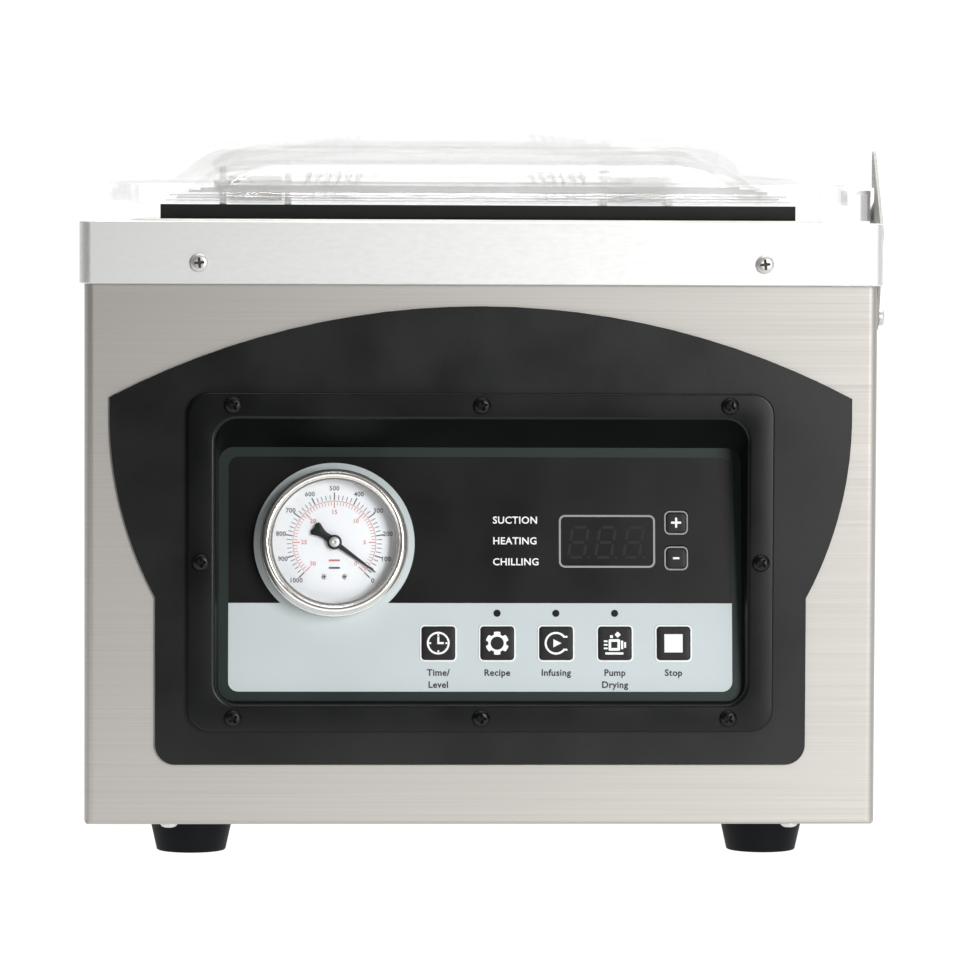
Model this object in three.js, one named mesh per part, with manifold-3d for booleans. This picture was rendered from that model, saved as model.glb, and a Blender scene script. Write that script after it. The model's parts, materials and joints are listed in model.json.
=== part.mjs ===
// A tabletop vacuum packing machine: a steel case with a control panel, a pressed chamber with
// a sealing bar, a domed clear lid on a rear hinge, and the pump, motor, valves and transformer.
// Millimetres. x runs to the right, y to the rear and z up. The origin is on the floor, under
// the middle of the case. Neighbouring pieces keep GAP between their faces.

import * as THREE from "three";
import { ConvexGeometry } from "three/addons/geometries/ConvexGeometry.js";
import { mergeVertices } from "three/addons/utils/BufferGeometryUtils.js";
import Module from "manifold-3d";

const wasm = await Module();
wasm.setup();

// ---------------------------------------------------------------- driving dimensions

const GAP = 0.3;
const SHEET = 1.5; // stainless sheet of the case, tray and chamber
const CORNER_STEPS = 4; // segments in a quarter turn of a rounded outline

const CASE = { w: 330, front: -234, rear: 236.5, bottom: 15, top: 262, corner: 4, fold: 2, lip: 13 };
const REAR_COVER = { from: 236.8, to: 238.3, bottom: 17, top: 261 };
const TRAY = { w: 334, front: -237, rear: 241, bottom: 240, top: 266, corner: 5, roll: 0.8 };
const CHAMBER = { y: -5.5, a: 140.5, b: 192.5, r: 20, floor: 191.5, fillet: 9, ledge: 7.4, flange: 12 };
const FOOT = { x: 121, y: 194, height: 16.5, low: 14.5, high: 18.2, edge: 0.8 };

const LID = { a: 156, b: 209.5, r: 20, bottom: 273.6, top: 283.2 };
const DOME = { y: 5.5, a: 146, b: 182.5, slope: 37, r: 26, shoulder: 300, crest: 308.3, wall: 7.5 };
const HINGE = { x: 95, y: 224, z: 283, rod: 4, knuckle: 8, bore: 4.4 };
const LATCH = { pivotY: -200, pivotZ: 226.5, x: 167.4, thickness: 1.2, pinY: -177, pinZ: 274 };
const LATCH_TURN = 16; // degrees between parked and locked
const PIVOT = { r: 2.2, collar: 4, head: 3.6, height: 2.6, edge: 0.6 }; // the latch's shoulder screw

const BAR = { y: -186, half: 130, width: 14, low: 222, high: 257, postX: 105, post: 5, postLow: 146 };
const CYLINDER = { r: 14, low: 122, boreLow: 134, collar: 18, collarHeight: 4 };

const FASCIA = {
  half: 135.5,
  low: 40.1,
  corner: 8.5,
  ear: 154.3,
  earLow: 185,
  side: 160, // radius of each side's arc
  crown: 332, // radius of the top's arc
  apex: 231.1,
};
const FRAME = { half: 121.7, low: 54.3, high: 195.1, corner: 9, back: 1.6, front: 4.6 };
const MOUTH = { half: 110.3, low: 65.7, high: 183.9, corner: 9, lip: 1.9 };
const SILL = { half: 109.3, low: 66.6, high: 171.8, corner: 6.5 }; // where the mouth meets the panel
const SLEEVE_WALL = 1.9;
const TILT = THREE.MathUtils.degToRad(7.5); // the control panel leans back
const PANEL = { depthAtLow: 0.9, mid: 120, half: 111, thickness: 2.5 };
const FRAME_SCREW = { x: 103.1, high: 190, low: 59.8, sideX: 116.4, sideZ: 124.7 };
const TRAY_SCREW = { x: 117.3, z: 248.8 };

const GAUGE = { x: -61.1, z: 131.9, case: 28.2, bezel: 30.9, window: 25.8 };
const GAUGE_REST = THREE.MathUtils.degToRad(-36); // the needle at rest, from the panel's +x
const KEY = { size: 14, corner: 1.2, z: 90.7, pitch: 24.58, first: -17.7 };
const STEP_KEY = { size: 9.6, corner: 2, x: 81.9, plusZ: 140.8, minusZ: 126 };
const KEY_CLEARANCE = 0.4;
const KEY_FOOT = 1.2; // how far a key's foot reaches past its cap

// The mains inlet and its switch, on the rear cover: half sizes of the body behind their flange.
const INLET = { x: 96, z: 62, half: 13.7, tall: 23.7 };
const MOTOR = { x: 40, z: 92, r: 50, front: -50, rear: 70 };

const rad = THREE.MathUtils.degToRad;

// ---------------------------------------------------------------- solids

// A three.js geometry with only its positions, and shared vertices merged.
function bare(geometry) {
  const plain = geometry.index ? geometry.toNonIndexed() : geometry.clone();
  const positions = new THREE.BufferGeometry();
  positions.setAttribute("position", plain.getAttribute("position"));
  return mergeVertices(positions, 1e-4);
}

function toManifold(geometry) {
  const g = bare(geometry);
  return new wasm.Manifold(
    new wasm.Mesh({
      numProp: 3,
      vertProperties: new Float32Array(g.attributes.position.array),
      triVerts: new Uint32Array(g.index.array),
    }),
  );
}

function fromManifold(solid) {
  const m = solid.getMesh();
  const positions = new Float32Array(m.numVert * 3);
  for (let i = 0; i < m.numVert; i++) {
    positions.set(m.vertProperties.subarray(i * m.numProp, i * m.numProp + 3), i * 3);
  }
  const g = new THREE.BufferGeometry();
  g.setAttribute("position", new THREE.BufferAttribute(positions, 3));
  g.setIndex(new THREE.BufferAttribute(new Uint32Array(m.triVerts), 1));
  g.computeVertexNormals();
  return g;
}

function join(...parts) {
  return fromManifold(parts.map(toManifold).reduce((a, b) => a.add(b)));
}

function cut(part, ...tools) {
  return fromManifold(tools.map(toManifold).reduce((a, b) => a.subtract(b), toManifold(part)));
}

// A box between two corners.
function box(x0, y0, z0, x1, y1, z1) {
  const g = new THREE.BoxGeometry(x1 - x0, y1 - y0, z1 - z0);
  return g.translate((x0 + x1) / 2, (y0 + y1) / 2, (z0 + z1) / 2);
}

// A cylinder along z from z0 to z1.
function rod(r, x, y, z0, z1, sides = 24) {
  const g = new THREE.CylinderGeometry(r, r, z1 - z0, sides);
  return g.rotateX(Math.PI / 2).translate(x, y, (z0 + z1) / 2);
}

function alongX(geometry) {
  return geometry.rotateY(Math.PI / 2);
}

// A turned piece about z. Its profile of [radius, z] starts and ends on the axis or closes on itself.
function turned(profile, sides = 32) {
  const points = profile.map(([r, z]) => new THREE.Vector2(r, z));
  return new THREE.LatheGeometry(points, sides).rotateX(Math.PI / 2);
}

function roundedRect(x0, y0, x1, y1, r) {
  const s = new THREE.Shape();
  s.moveTo(x0 + r, y0);
  s.lineTo(x1 - r, y0);
  s.absarc(x1 - r, y0 + r, r, -Math.PI / 2, 0);
  s.lineTo(x1, y1 - r);
  s.absarc(x1 - r, y1 - r, r, 0, Math.PI / 2);
  s.lineTo(x0 + r, y1);
  s.absarc(x0 + r, y1 - r, r, Math.PI / 2, Math.PI);
  s.lineTo(x0, y0 + r);
  s.absarc(x0 + r, y0 + r, r, Math.PI, 1.5 * Math.PI);
  return s;
}

// A shape drawn in x and y, pulled along z from z0 to z1.
function prism(shape, z0, z1, curveSegments = CORNER_STEPS) {
  const g = new THREE.ExtrudeGeometry(shape, { depth: z1 - z0, bevelEnabled: false, curveSegments });
  return g.translate(0, 0, z0);
}

// A tube of wire or hose along a curve.
function swept(curve, r, steps, sides) {
  const ring = new THREE.Shape();
  for (let i = 0; i < sides; i++) {
    const t = (2 * Math.PI * i) / sides;
    const [x, y] = [r * Math.cos(t), r * Math.sin(t)];
    i ? ring.lineTo(x, y) : ring.moveTo(x, y);
  }
  ring.closePath();
  return new THREE.ExtrudeGeometry(ring, { extrudePath: curve, steps, bevelEnabled: false });
}

// A pressed or moulded piece: rounded rectangles { a, b, r, z } of half width a and half depth b,
// about the middle y or a middle of their own, skinned one after another. An open stack is capped
// flat at both ends; a closed one is a ring.
function stacked(profile, { y: middle = 0, closed = false } = {}) {
  const perLoop = 4 * (CORNER_STEPS + 1);
  const positions = [];
  for (const { a, b, r, z, y = middle } of profile) {
    const corner = Math.min(r, a, b);
    for (const [quarter, sx, sy] of [[0, 1, 1], [1, -1, 1], [2, -1, -1], [3, 1, -1]]) {
      for (let i = 0; i <= CORNER_STEPS; i++) {
        const t = (Math.PI / 2) * (quarter + i / CORNER_STEPS);
        positions.push(
          sx * (a - corner) + corner * Math.cos(t),
          y + sy * (b - corner) + corner * Math.sin(t),
          z,
        );
      }
    }
  }
  const faces = [];
  const loops = profile.length;
  for (let k = 0; k < (closed ? loops : loops - 1); k++) {
    const [low, high] = [k * perLoop, ((k + 1) % loops) * perLoop];
    for (let i = 0; i < perLoop; i++) {
      const j = (i + 1) % perLoop;
      faces.push(low + i, low + j, high + j, low + i, high + j, high + i);
    }
  }
  if (!closed) {
    for (const [k, turn] of [[0, 1], [loops - 1, 0]]) {
      const centre = positions.length / 3;
      positions.push(0, profile[k].y ?? middle, profile[k].z);
      for (let i = 0; i < perLoop; i++) {
        const [p, q] = [k * perLoop + i, k * perLoop + ((i + 1) % perLoop)];
        turn ? faces.push(centre, q, p) : faces.push(centre, p, q);
      }
    }
  }
  const g = new THREE.BufferGeometry();
  g.setAttribute("position", new THREE.BufferAttribute(new Float32Array(positions), 3));
  g.setIndex(faces);
  const facing = toManifold(g).volume();
  if (facing < 0) {
    for (let i = 0; i < faces.length; i += 3) [faces[i], faces[i + 1]] = [faces[i + 1], faces[i]];
    g.setIndex(faces);
  }
  g.computeVertexNormals();
  return g;
}

// The solid between a front outline and a back outline, both convex: lists of [x, y, z].
function hullOf(...outlines) {
  return new ConvexGeometry(outlines.flat().map(([x, y, z]) => new THREE.Vector3(x, y, z)));
}

// ---------------------------------------------------------------- materials

function finish(color, roughness, metalness, extra = {}) {
  return new THREE.MeshStandardMaterial({ color, roughness, metalness, ...extra });
}

const brushedSteel = finish(0xc9c6bf, 0.38, 1);
const chamberSteel = finish(0xc4c4c2, 0.3, 1);
const blackPaint = finish(0x2b2d2f, 0.62, 0.1);
const blackMoulding = finish(0x1d1e20, 0.5, 0);
const overlay = finish(0x1c1d1d, 0.45, 0);
const keyCap = finish(0x2c2c2e, 0.5, 0);
const chrome = finish(0xe3e0dc, 0.08, 1);
const dialWhite = finish(0xeef1f4, 0.6, 0);
const clear = finish(0xf4f8f8, 0.05, 0, { transparent: true, opacity: 0.25 });
const blackSilicone = finish(0x1d1f1c, 0.7, 0);
const paleSilicone = finish(0xd9dad5, 0.6, 0);
const rubber = finish(0x17191b, 0.75, 0);
const turnedSteel = finish(0xb9b9b7, 0.3, 1);
const aluminium = finish(0xaeb0b1, 0.4, 1);
const blackZinc = finish(0x141414, 0.35, 0.8);
const whiteBoard = finish(0xf1f1ee, 0.55, 0);
const circuitBoard = finish(0x1f5b36, 0.5, 0);
const castIron = finish(0x50565a, 0.7, 0.5);
const motorPaint = finish(0x34506b, 0.5, 0.3);
const laminations = finish(0x7a5a3a, 0.6, 0.3);
const hoseRubber = finish(0x22262a, 0.8, 0);
const brass = finish(0xb8964e, 0.3, 1);
const springSteel = finish(0x8f9092, 0.35, 1);

const machine = new THREE.Group();

function add(group, name, geometry, material) {
  const mesh = new THREE.Mesh(geometry, material);
  mesh.name = name;
  group.add(mesh);
  return mesh;
}

// ---------------------------------------------------------------- the front, drawn as seen from the front

// Local x is right, local y is height above the floor and local z stands out from the case's front.
const front = new THREE.Group();
front.rotation.x = Math.PI / 2;
front.position.y = CASE.front;
machine.add(front);

function onFront(geometry) {
  return geometry.rotateX(Math.PI / 2).translate(0, CASE.front, 0);
}

const frameScrewPlaces = [
  ...[-1, 0, 1].map((side) => [side * FRAME_SCREW.x, FRAME_SCREW.high]),
  ...[-1, 1].map((side) => [side * FRAME_SCREW.sideX, FRAME_SCREW.sideZ]),
  ...[-1, 0, 1].map((side) => [side * FRAME_SCREW.x, FRAME_SCREW.low]),
];
const trayScrewPlaces = [-1, 1].map((side) => [side * TRAY_SCREW.x, TRAY_SCREW.z]);
const SCREW_HOLE = 1.9;
const screwHoles = (places, z0, z1) => places.map(([x, y]) => rod(SCREW_HOLE, x, y, z0, z1, 8));

// The opening that the sleeve of the frame passes through, a little larger than the sleeve.
const SLEEVE_ROOM = SLEEVE_WALL + 0.5;
const CUTOUT = MOUTH.half + SLEEVE_ROOM;
const cutout = (z0, z1) =>
  prism(
    roundedRect(-CUTOUT, MOUTH.low - SLEEVE_ROOM, CUTOUT, MOUTH.high + SLEEVE_ROOM, MOUTH.corner),
    z0,
    z1,
  );

function fasciaOutline() {
  const f = FASCIA;
  const centre = f.ear - f.side; // the side arcs' centres lie this far past the middle
  const notch = Math.acos((f.half - centre) / f.side);
  const crownZ = f.apex - f.crown;
  const crownEnd = Math.acos(f.ear / f.crown);
  const s = new THREE.Shape();
  s.moveTo(-f.half + f.corner, f.low);
  s.lineTo(f.half - f.corner, f.low);
  s.absarc(f.half - f.corner, f.low + f.corner, f.corner, -Math.PI / 2, 0);
  s.lineTo(f.half, f.earLow - f.side * Math.sin(notch));
  s.absarc(centre, f.earLow, f.side, -notch, 0);
  s.absarc(0, crownZ, f.crown, crownEnd, Math.PI - crownEnd);
  s.absarc(-centre, f.earLow, f.side, Math.PI, Math.PI + notch);
  s.lineTo(-f.half, f.low + f.corner);
  s.absarc(-f.half + f.corner, f.low + f.corner, f.corner, Math.PI, 1.5 * Math.PI);
  return s;
}

const FASCIA_FRONT = FRAME.back - GAP;
add(
  front,
  "fascia_plate",
  cut(
    prism(fasciaOutline(), GAP, FASCIA_FRONT, 12),
    cutout(-1, 4),
    ...screwHoles(frameScrewPlaces, -1, 4),
  ),
  blackPaint,
);

// The depth of the panel's face behind the case's front, at a height.
const panelDepth = (height) => PANEL.depthAtLow + (height - SILL.low) * Math.tan(TILT);

function outlinePoints({ half, low, high, corner }, depthAt, grow = 0) {
  const shape = roundedRect(-half - grow, low - grow, half + grow, high + grow, corner + grow);
  return shape.getPoints(CORNER_STEPS).map((p) => [p.x, p.y, depthAt(p.y)]);
}

// The frame is a flange with a sleeve behind it, open from its mouth back to the panel.
function panelFrame() {
  const flange = prism(
    roundedRect(-FRAME.half, FRAME.low, FRAME.half, FRAME.high, FRAME.corner),
    FRAME.back,
    FRAME.front,
  );
  const behind = (height) => GAP - panelDepth(height);
  const sleeve = hullOf(
    outlinePoints(MOUTH, () => FRAME.front - 1, SLEEVE_WALL),
    outlinePoints(SILL, behind, SLEEVE_WALL),
  );
  // Past both ends the opening runs on along its own slope. Its front edge opens out as a lip.
  const beyond = 0.15;
  const mouth = outlinePoints(MOUTH, () => FRAME.front);
  const sill = outlinePoints(SILL, behind);
  const past = (from, to) => from.map((p, i) => p.map((v, k) => v + (v - to[i][k]) * beyond));
  const lip = hullOf(
    outlinePoints(MOUTH, () => FRAME.front - MOUTH.lip),
    outlinePoints(MOUTH, () => FRAME.front, MOUTH.lip),
    outlinePoints(MOUTH, () => FRAME.front + 1, MOUTH.lip),
  );
  return cut(
    join(flange, sleeve),
    hullOf(past(mouth, sill), past(sill, mouth)),
    lip,
    ...screwHoles(frameScrewPlaces, 0, 6),
  );
}
add(front, "panel_frame", panelFrame(), blackMoulding);

// A pan-head screw: its head's underside is at z 0.
function panScrew(headRadius, headHeight, shank, length) {
  const profile = [
    [0, -length],
    [shank, -length],
    [shank, 0],
    [headRadius, 0],
    [headRadius, headHeight * 0.45],
    [headRadius * 0.7, headHeight],
    [0, headHeight],
  ];
  return turned(profile, 10);
}

frameScrewPlaces.forEach(([x, y], i) => {
  const screw = add(front, `frame_screw_${i + 1}`, panScrew(3.6, 2, 1.6, 8), blackZinc);
  screw.position.set(x, y, FRAME.front + GAP);
});
const trayProud = CASE.front - TRAY.front;
trayScrewPlaces.forEach(([x, y], i) => {
  const name = `tray_screw_${["left", "right"][i]}`;
  const screw = add(front, name, panScrew(3.8, 1.6, 1.6, 7), turnedSteel);
  screw.position.set(x, y, trayProud + GAP);
});

// ---------------------------------------------------------------- the control panel, leaning back

// Local x is right, local y runs up the panel's face and local z stands out of it.
const panel = new THREE.Group();
panel.rotation.x = -TILT;
panel.position.set(0, PANEL.mid, -panelDepth(PANEL.mid));
front.add(panel);

const upPanel = (height) => (height - PANEL.mid) / Math.cos(TILT);
const gaugeUp = upPanel(GAUGE.z);
const keys = [
  ...["time", "preset", "marinate", "pump_cleaning", "stop"].map((name, i) => ({
    name: `key_${name}`,
    x: KEY.first + i * KEY.pitch,
    y: upPanel(KEY.z),
    size: KEY.size,
    corner: KEY.corner,
  })),
  ...[
    ["key_plus", STEP_KEY.plusZ],
    ["key_minus", STEP_KEY.minusZ],
  ].map(([name, z]) => ({
    name,
    x: STEP_KEY.x,
    y: upPanel(z),
    size: STEP_KEY.size,
    corner: STEP_KEY.corner,
  })),
];

function keyOutline({ x, y, size, corner }, grow) {
  const h = size / 2 + grow;
  return roundedRect(x - h, y - h, x + h, y + h, corner + grow);
}

const panelLow = upPanel(SILL.low - 1.6);
const panelHigh = upPanel(SILL.high + 1.6);
add(
  panel,
  "control_panel",
  cut(
    prism(roundedRect(-PANEL.half, panelLow, PANEL.half, panelHigh, 7), -PANEL.thickness, 0),
    rod(GAUGE.case + 0.5, GAUGE.x, gaugeUp, -9, 9, 32),
    ...keys.map((key) => prism(keyOutline(key, KEY_CLEARANCE), -9, 9, 2)),
  ),
  overlay,
);

// Each key is a cap with a wider foot behind the panel that keeps it in.
const KEY_PROUD = 0.9;
const KEY_BACK = -4.2;
for (const key of keys) {
  const cap = prism(keyOutline(key, 0), KEY_BACK + 0.4, KEY_PROUD, 2);
  const foot = prism(keyOutline(key, KEY_FOOT), KEY_BACK, -PANEL.thickness - GAP, 2);
  add(panel, key.name, join(cap, foot), keyCap);
}

const CIRCUIT = { left: -24, right: 104, inset: 6, front: -9.4, thickness: 1.6 };
add(
  panel,
  "control_board",
  box(
    CIRCUIT.left,
    panelLow + CIRCUIT.inset,
    CIRCUIT.front - CIRCUIT.thickness,
    CIRCUIT.right,
    panelHigh - CIRCUIT.inset,
    CIRCUIT.front,
  ),
  circuitBoard,
);

// ---------------------------------------------------------------- the vacuum gauge

const gauge = new THREE.Group();
gauge.position.set(GAUGE.x, gaugeUp, 0);
panel.add(gauge);

const CASE_RIM = 8.6;
const dialSeat = 3;
add(
  gauge,
  "gauge_case",
  turned(
    [
      [0, -36],
      [5, -36],
      [5, -24],
      [GAUGE.case - 3, -24],
      [GAUGE.case, -21],
      [GAUGE.case, CASE_RIM],
      [GAUGE.case - 0.8, CASE_RIM],
      [GAUGE.case - 0.8, dialSeat],
      [0, dialSeat],
    ],
    32,
  ),
  turnedSteel,
);
add(
  gauge,
  "gauge_bezel",
  turned(
    [
      [GAUGE.case + GAP, GAP],
      [GAUGE.bezel, GAP],
      [GAUGE.bezel, 8.4],
      [GAUGE.bezel - 1, 11],
      [GAUGE.bezel - 3, 12.5],
      [GAUGE.window, 12.5],
      [GAUGE.window, 10.7],
      [GAUGE.case + GAP, 10.7],
      [GAUGE.case + GAP, GAP],
    ],
    40,
  ),
  chrome,
);
add(gauge, "gauge_dial", rod(GAUGE.case - 1.1, 0, 0, dialSeat + GAP, dialSeat + 1.3, 32), dialWhite);
add(gauge, "gauge_lens", rod(GAUGE.case - 0.3, 0, 0, CASE_RIM + GAP, CASE_RIM + 1.8, 32), clear);

function needleOutline() {
  const s = new THREE.Shape();
  s.moveTo(21.4, 0);
  s.lineTo(2.4, 0.85);
  s.absarc(0, 0, 2.6, rad(19), rad(160));
  s.lineTo(-6.2, 1.2);
  s.lineTo(-9, 2.6);
  s.absarc(-9.6, 0, 2.6, rad(77), rad(283));
  s.lineTo(-6.2, -1.2);
  s.absarc(0, 0, 2.6, rad(200), rad(341));
  s.lineTo(2.4, -0.85);
  return s;
}
const needle = add(gauge, "gauge_needle", prism(needleOutline(), 5.4, 6, 4), blackMoulding);
needle.rotation.z = GAUGE_REST;

// ---------------------------------------------------------------- the case

// Front and side walls are one folded sheet, with lips at the rear edges and along the bottom.
function housingShell() {
  const [h, r] = [CASE.w / 2, CASE.corner];
  const [y0, y1] = [CASE.front, CASE.rear];
  const i = h - SHEET;
  const s = new THREE.Shape();
  s.moveTo(-h, y1);
  s.lineTo(-h, y0 + r);
  s.absarc(-h + r, y0 + r, r, Math.PI, 1.5 * Math.PI);
  s.lineTo(h - r, y0);
  s.absarc(h - r, y0 + r, r, -Math.PI / 2, 0);
  s.lineTo(h, y1);
  s.lineTo(h - CASE.lip, y1);
  s.lineTo(h - CASE.lip, y1 - SHEET);
  s.lineTo(i, y1 - SHEET);
  s.lineTo(i, y0 + r);
  s.absarc(h - r, y0 + r, r - SHEET, 0, -Math.PI / 2, true);
  s.lineTo(-h + r, y0 + SHEET);
  s.absarc(-h + r, y0 + r, r - SHEET, 1.5 * Math.PI, Math.PI, true);
  s.lineTo(-i, y1 - SHEET);
  s.lineTo(-h + CASE.lip, y1 - SHEET);
  s.lineTo(-h + CASE.lip, y1);
  const [z0, z1] = [CASE.bottom, CASE.bottom + SHEET];
  const reach = 0.5;
  const walls = join(
    prism(s, CASE.bottom, CASE.top),
    box(-i - reach, y0 + SHEET - reach, z0, i + reach, y0 + CASE.lip, z1),
    box(-i - reach, y0 + SHEET, z0, -h + CASE.lip, y1 - SHEET, z1),
    box(h - CASE.lip, y0 + SHEET, z0, i + reach, y1 - SHEET, z1),
  );
  return cut(
    walls,
    onFront(cutout(-9, 9)),
    ...screwHoles([...frameScrewPlaces, ...trayScrewPlaces], -9, 9).map(onFront),
    ...sideSlots(),
    ...lowerFolds(),
  );
}

// What the rounded folds leave off the square lower edges of the front and the two sides.
function lowerFolds() {
  const { w, front: y0, rear: y1, bottom, fold } = CASE;
  const trim = (from, to) => {
    const s = new THREE.Shape(); // the corner is at its origin, and the sheet is up and to the right
    s.moveTo(-1, -1);
    s.lineTo(fold, -1);
    s.lineTo(fold, 0);
    s.absarc(fold, fold, fold, -Math.PI / 2, Math.PI, true);
    s.lineTo(-1, fold);
    return prism(s, from, to).rotateX(Math.PI / 2);
  };
  return [
    trim(-w, w).rotateZ(Math.PI / 2).translate(0, y0, bottom),
    trim(-y1 - 9, -y0 + 9).translate(-w / 2, 0, bottom),
    trim(y0 - 9, y1 + 9).rotateZ(Math.PI).translate(w / 2, 0, bottom),
  ];
}

const SIDE_SLOTS = { count: 9, pitch: 11, first: 96, low: 48, high: 92, width: 3.4 };
function sideSlots() {
  const slots = [];
  for (let i = 0; i < SIDE_SLOTS.count; i++) {
    const y = SIDE_SLOTS.first + i * SIDE_SLOTS.pitch;
    const half = SIDE_SLOTS.width / 2;
    for (const side of [-1, 1]) {
      const x = (side * CASE.w) / 2;
      slots.push(box(x - 4, y - half, SIDE_SLOTS.low, x + 4, y + half, SIDE_SLOTS.high));
    }
  }
  return slots;
}
add(machine, "housing_shell", housingShell(), brushedSteel);

function basePan() {
  const half = CASE.w / 2 - SHEET - 0.6;
  const [y0, y1] = [CASE.front + SHEET + 0.6, CASE.rear - SHEET - 0.6];
  const z = CASE.bottom + SHEET + GAP;
  const r = CASE.corner;
  return cut(
    prism(roundedRect(-half, y0, half, y1, r), z, z + 14),
    prism(roundedRect(-half + SHEET, y0 + SHEET, half - SHEET, y1 - SHEET, r - SHEET), z + SHEET, z + 20),
  );
}
add(machine, "base_pan", basePan(), brushedSteel);

// A flat cover plate over the rear, with air slots and a window for the inlet.
const REAR_SLOTS = { count: 8, pitch: 10, low: 96, width: 3.4, inner: 18, outer: 88 };
function rearCover() {
  const half = CASE.w / 2 - 1.2;
  const slots = [];
  for (let i = 0; i < REAR_SLOTS.count; i++) {
    const z = REAR_SLOTS.low + i * REAR_SLOTS.pitch;
    for (const side of [-1, 1]) {
      const [near, far] = [side * REAR_SLOTS.inner, side * REAR_SLOTS.outer];
      const [left, right] = [Math.min(near, far), Math.max(near, far)];
      slots.push(box(left, REAR_COVER.from - 3, z, right, REAR_COVER.to + 3, z + REAR_SLOTS.width));
    }
  }
  const [wide, tall] = [INLET.half + 0.6, INLET.tall + 0.6];
  return cut(
    box(-half, REAR_COVER.from, REAR_COVER.bottom, half, REAR_COVER.to, REAR_COVER.top),
    box(
      ...[INLET.x - wide, REAR_COVER.from - 3, INLET.z - tall],
      ...[INLET.x + wide, REAR_COVER.to + 3, INLET.z + tall],
    ),
    ...slots,
  );
}
add(machine, "rear_cover", rearCover(), brushedSteel);

for (const [name, x, y] of [
  ["foot_front_left", -FOOT.x, -FOOT.y],
  ["foot_front_right", FOOT.x, -FOOT.y],
  ["foot_rear_left", -FOOT.x, FOOT.y],
  ["foot_rear_right", FOOT.x, FOOT.y],
]) {
  const { low, high, height, edge } = FOOT;
  const profile = [[0, 0], [low - edge, 0], [low, edge], [high, height], [0, height]];
  add(machine, name, turned(profile, 24), rubber).position.set(x, y, 0);
}

// ---------------------------------------------------------------- the tray and the chamber

function topTray() {
  const [a, b] = [TRAY.w / 2, (TRAY.rear - TRAY.front) / 2];
  const y = (TRAY.front + TRAY.rear) / 2;
  const r = TRAY.roll;
  const outer = (inset, z) => ({ a: a - inset, b: b - inset, r: TRAY.corner - inset / 2, z });
  const rolled = [30, 60, 90].map((t) =>
    outer(r * (1 - Math.cos(rad(t))), TRAY.top - r * (1 - Math.sin(rad(t)))),
  );
  const skin = stacked([outer(0, TRAY.bottom), outer(0, TRAY.top - r), ...rolled], { y });
  const inside = stacked(
    [
      { a: a - SHEET, b: b - SHEET, r: TRAY.corner - SHEET, z: TRAY.bottom - 1 },
      { a: a - SHEET, b: b - SHEET, r: TRAY.corner - SHEET, z: TRAY.top - SHEET },
    ],
    { y },
  );
  const { a: chamberA, b: chamberB, r: chamberR, ledge } = CHAMBER;
  const brim = (z) => ({ a: chamberA + ledge, b: chamberB + ledge, r: chamberR + ledge, z });
  const opening = stacked([brim(TRAY.bottom), brim(TRAY.top + 9)], { y: CHAMBER.y });
  return cut(skin, inside, opening, ...screwHoles(trayScrewPlaces, -9, 9).map(onFront));
}
add(machine, "top_tray", topTray(), brushedSteel);

// The chamber is a pressed tub. Its flange hangs under the tray, and a ledge of it shows inside
// the tray's opening and carries the gasket.
const PORT = { x: -100, y: 162, r: 8 };
const FLANGE_TOP = TRAY.top - SHEET - GAP;
function chamberTub() {
  const { a, b, r, floor, fillet, flange } = CHAMBER;
  const wall = (offset, z) => ({ a: a + offset, b: b + offset, r: r + offset, z });
  // The round edge of the floor, on the face that is this far outside the chamber.
  const round = (offset) =>
    [0, 30, 60, 90].map((t) => {
      const [inset, rise] = [fillet * (1 - Math.sin(rad(t))), fillet * (1 - Math.cos(rad(t)))];
      return wall(offset - inset, floor - offset + rise);
    });
  const inside = round(0);
  const outside = round(SHEET).reverse();
  const tub = stacked(
    [
      ...inside,
      wall(0, FLANGE_TOP),
      wall(flange, FLANGE_TOP),
      wall(flange, FLANGE_TOP - SHEET),
      wall(SHEET, FLANGE_TOP - SHEET),
      ...outside,
    ],
    { y: CHAMBER.y },
  );
  const hole = (r, x, y) => rod(r, x, y, floor - 9, floor + 9, 16);
  const posts = [-1, 1].map((side) => hole(BAR.post + 1, side * BAR.postX, BAR.y));
  return cut(tub, ...posts, hole(PORT.r, PORT.x, PORT.y));
}
add(machine, "chamber_tub", chamberTub(), chamberSteel);

const GASKET = { inner: 0.6, width: 6.4, height: 2.4, shoulder: 0.6, crown: 0.3 };
function chamberGasket() {
  const { a, b, r } = CHAMBER;
  const z = FLANGE_TOP + GAP;
  const at = (out, up) => ({ a: a + out, b: b + out, r: r + out, z: z + up });
  const { inner: i, width: w, height: h, shoulder, crown } = GASKET;
  const section = [
    at(i, 0),
    at(i + w, 0),
    at(i + w, h * shoulder),
    at(i + w * (1 - crown), h),
    at(i + w * crown, h),
    at(i, h * shoulder),
  ];
  return stacked(section, { y: CHAMBER.y, closed: true });
}
add(machine, "chamber_gasket", chamberGasket(), paleSilicone);

const BOARD = { a: 128, y0: -158, y1: 142, thickness: 18 };
add(
  machine,
  "filler_plate",
  prism(
    roundedRect(-BOARD.a, BOARD.y0, BOARD.a, BOARD.y1, 16),
    CHAMBER.floor + GAP,
    CHAMBER.floor + GAP + BOARD.thickness,
  ),
  whiteBoard,
);

// ---------------------------------------------------------------- the sealing bar

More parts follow.
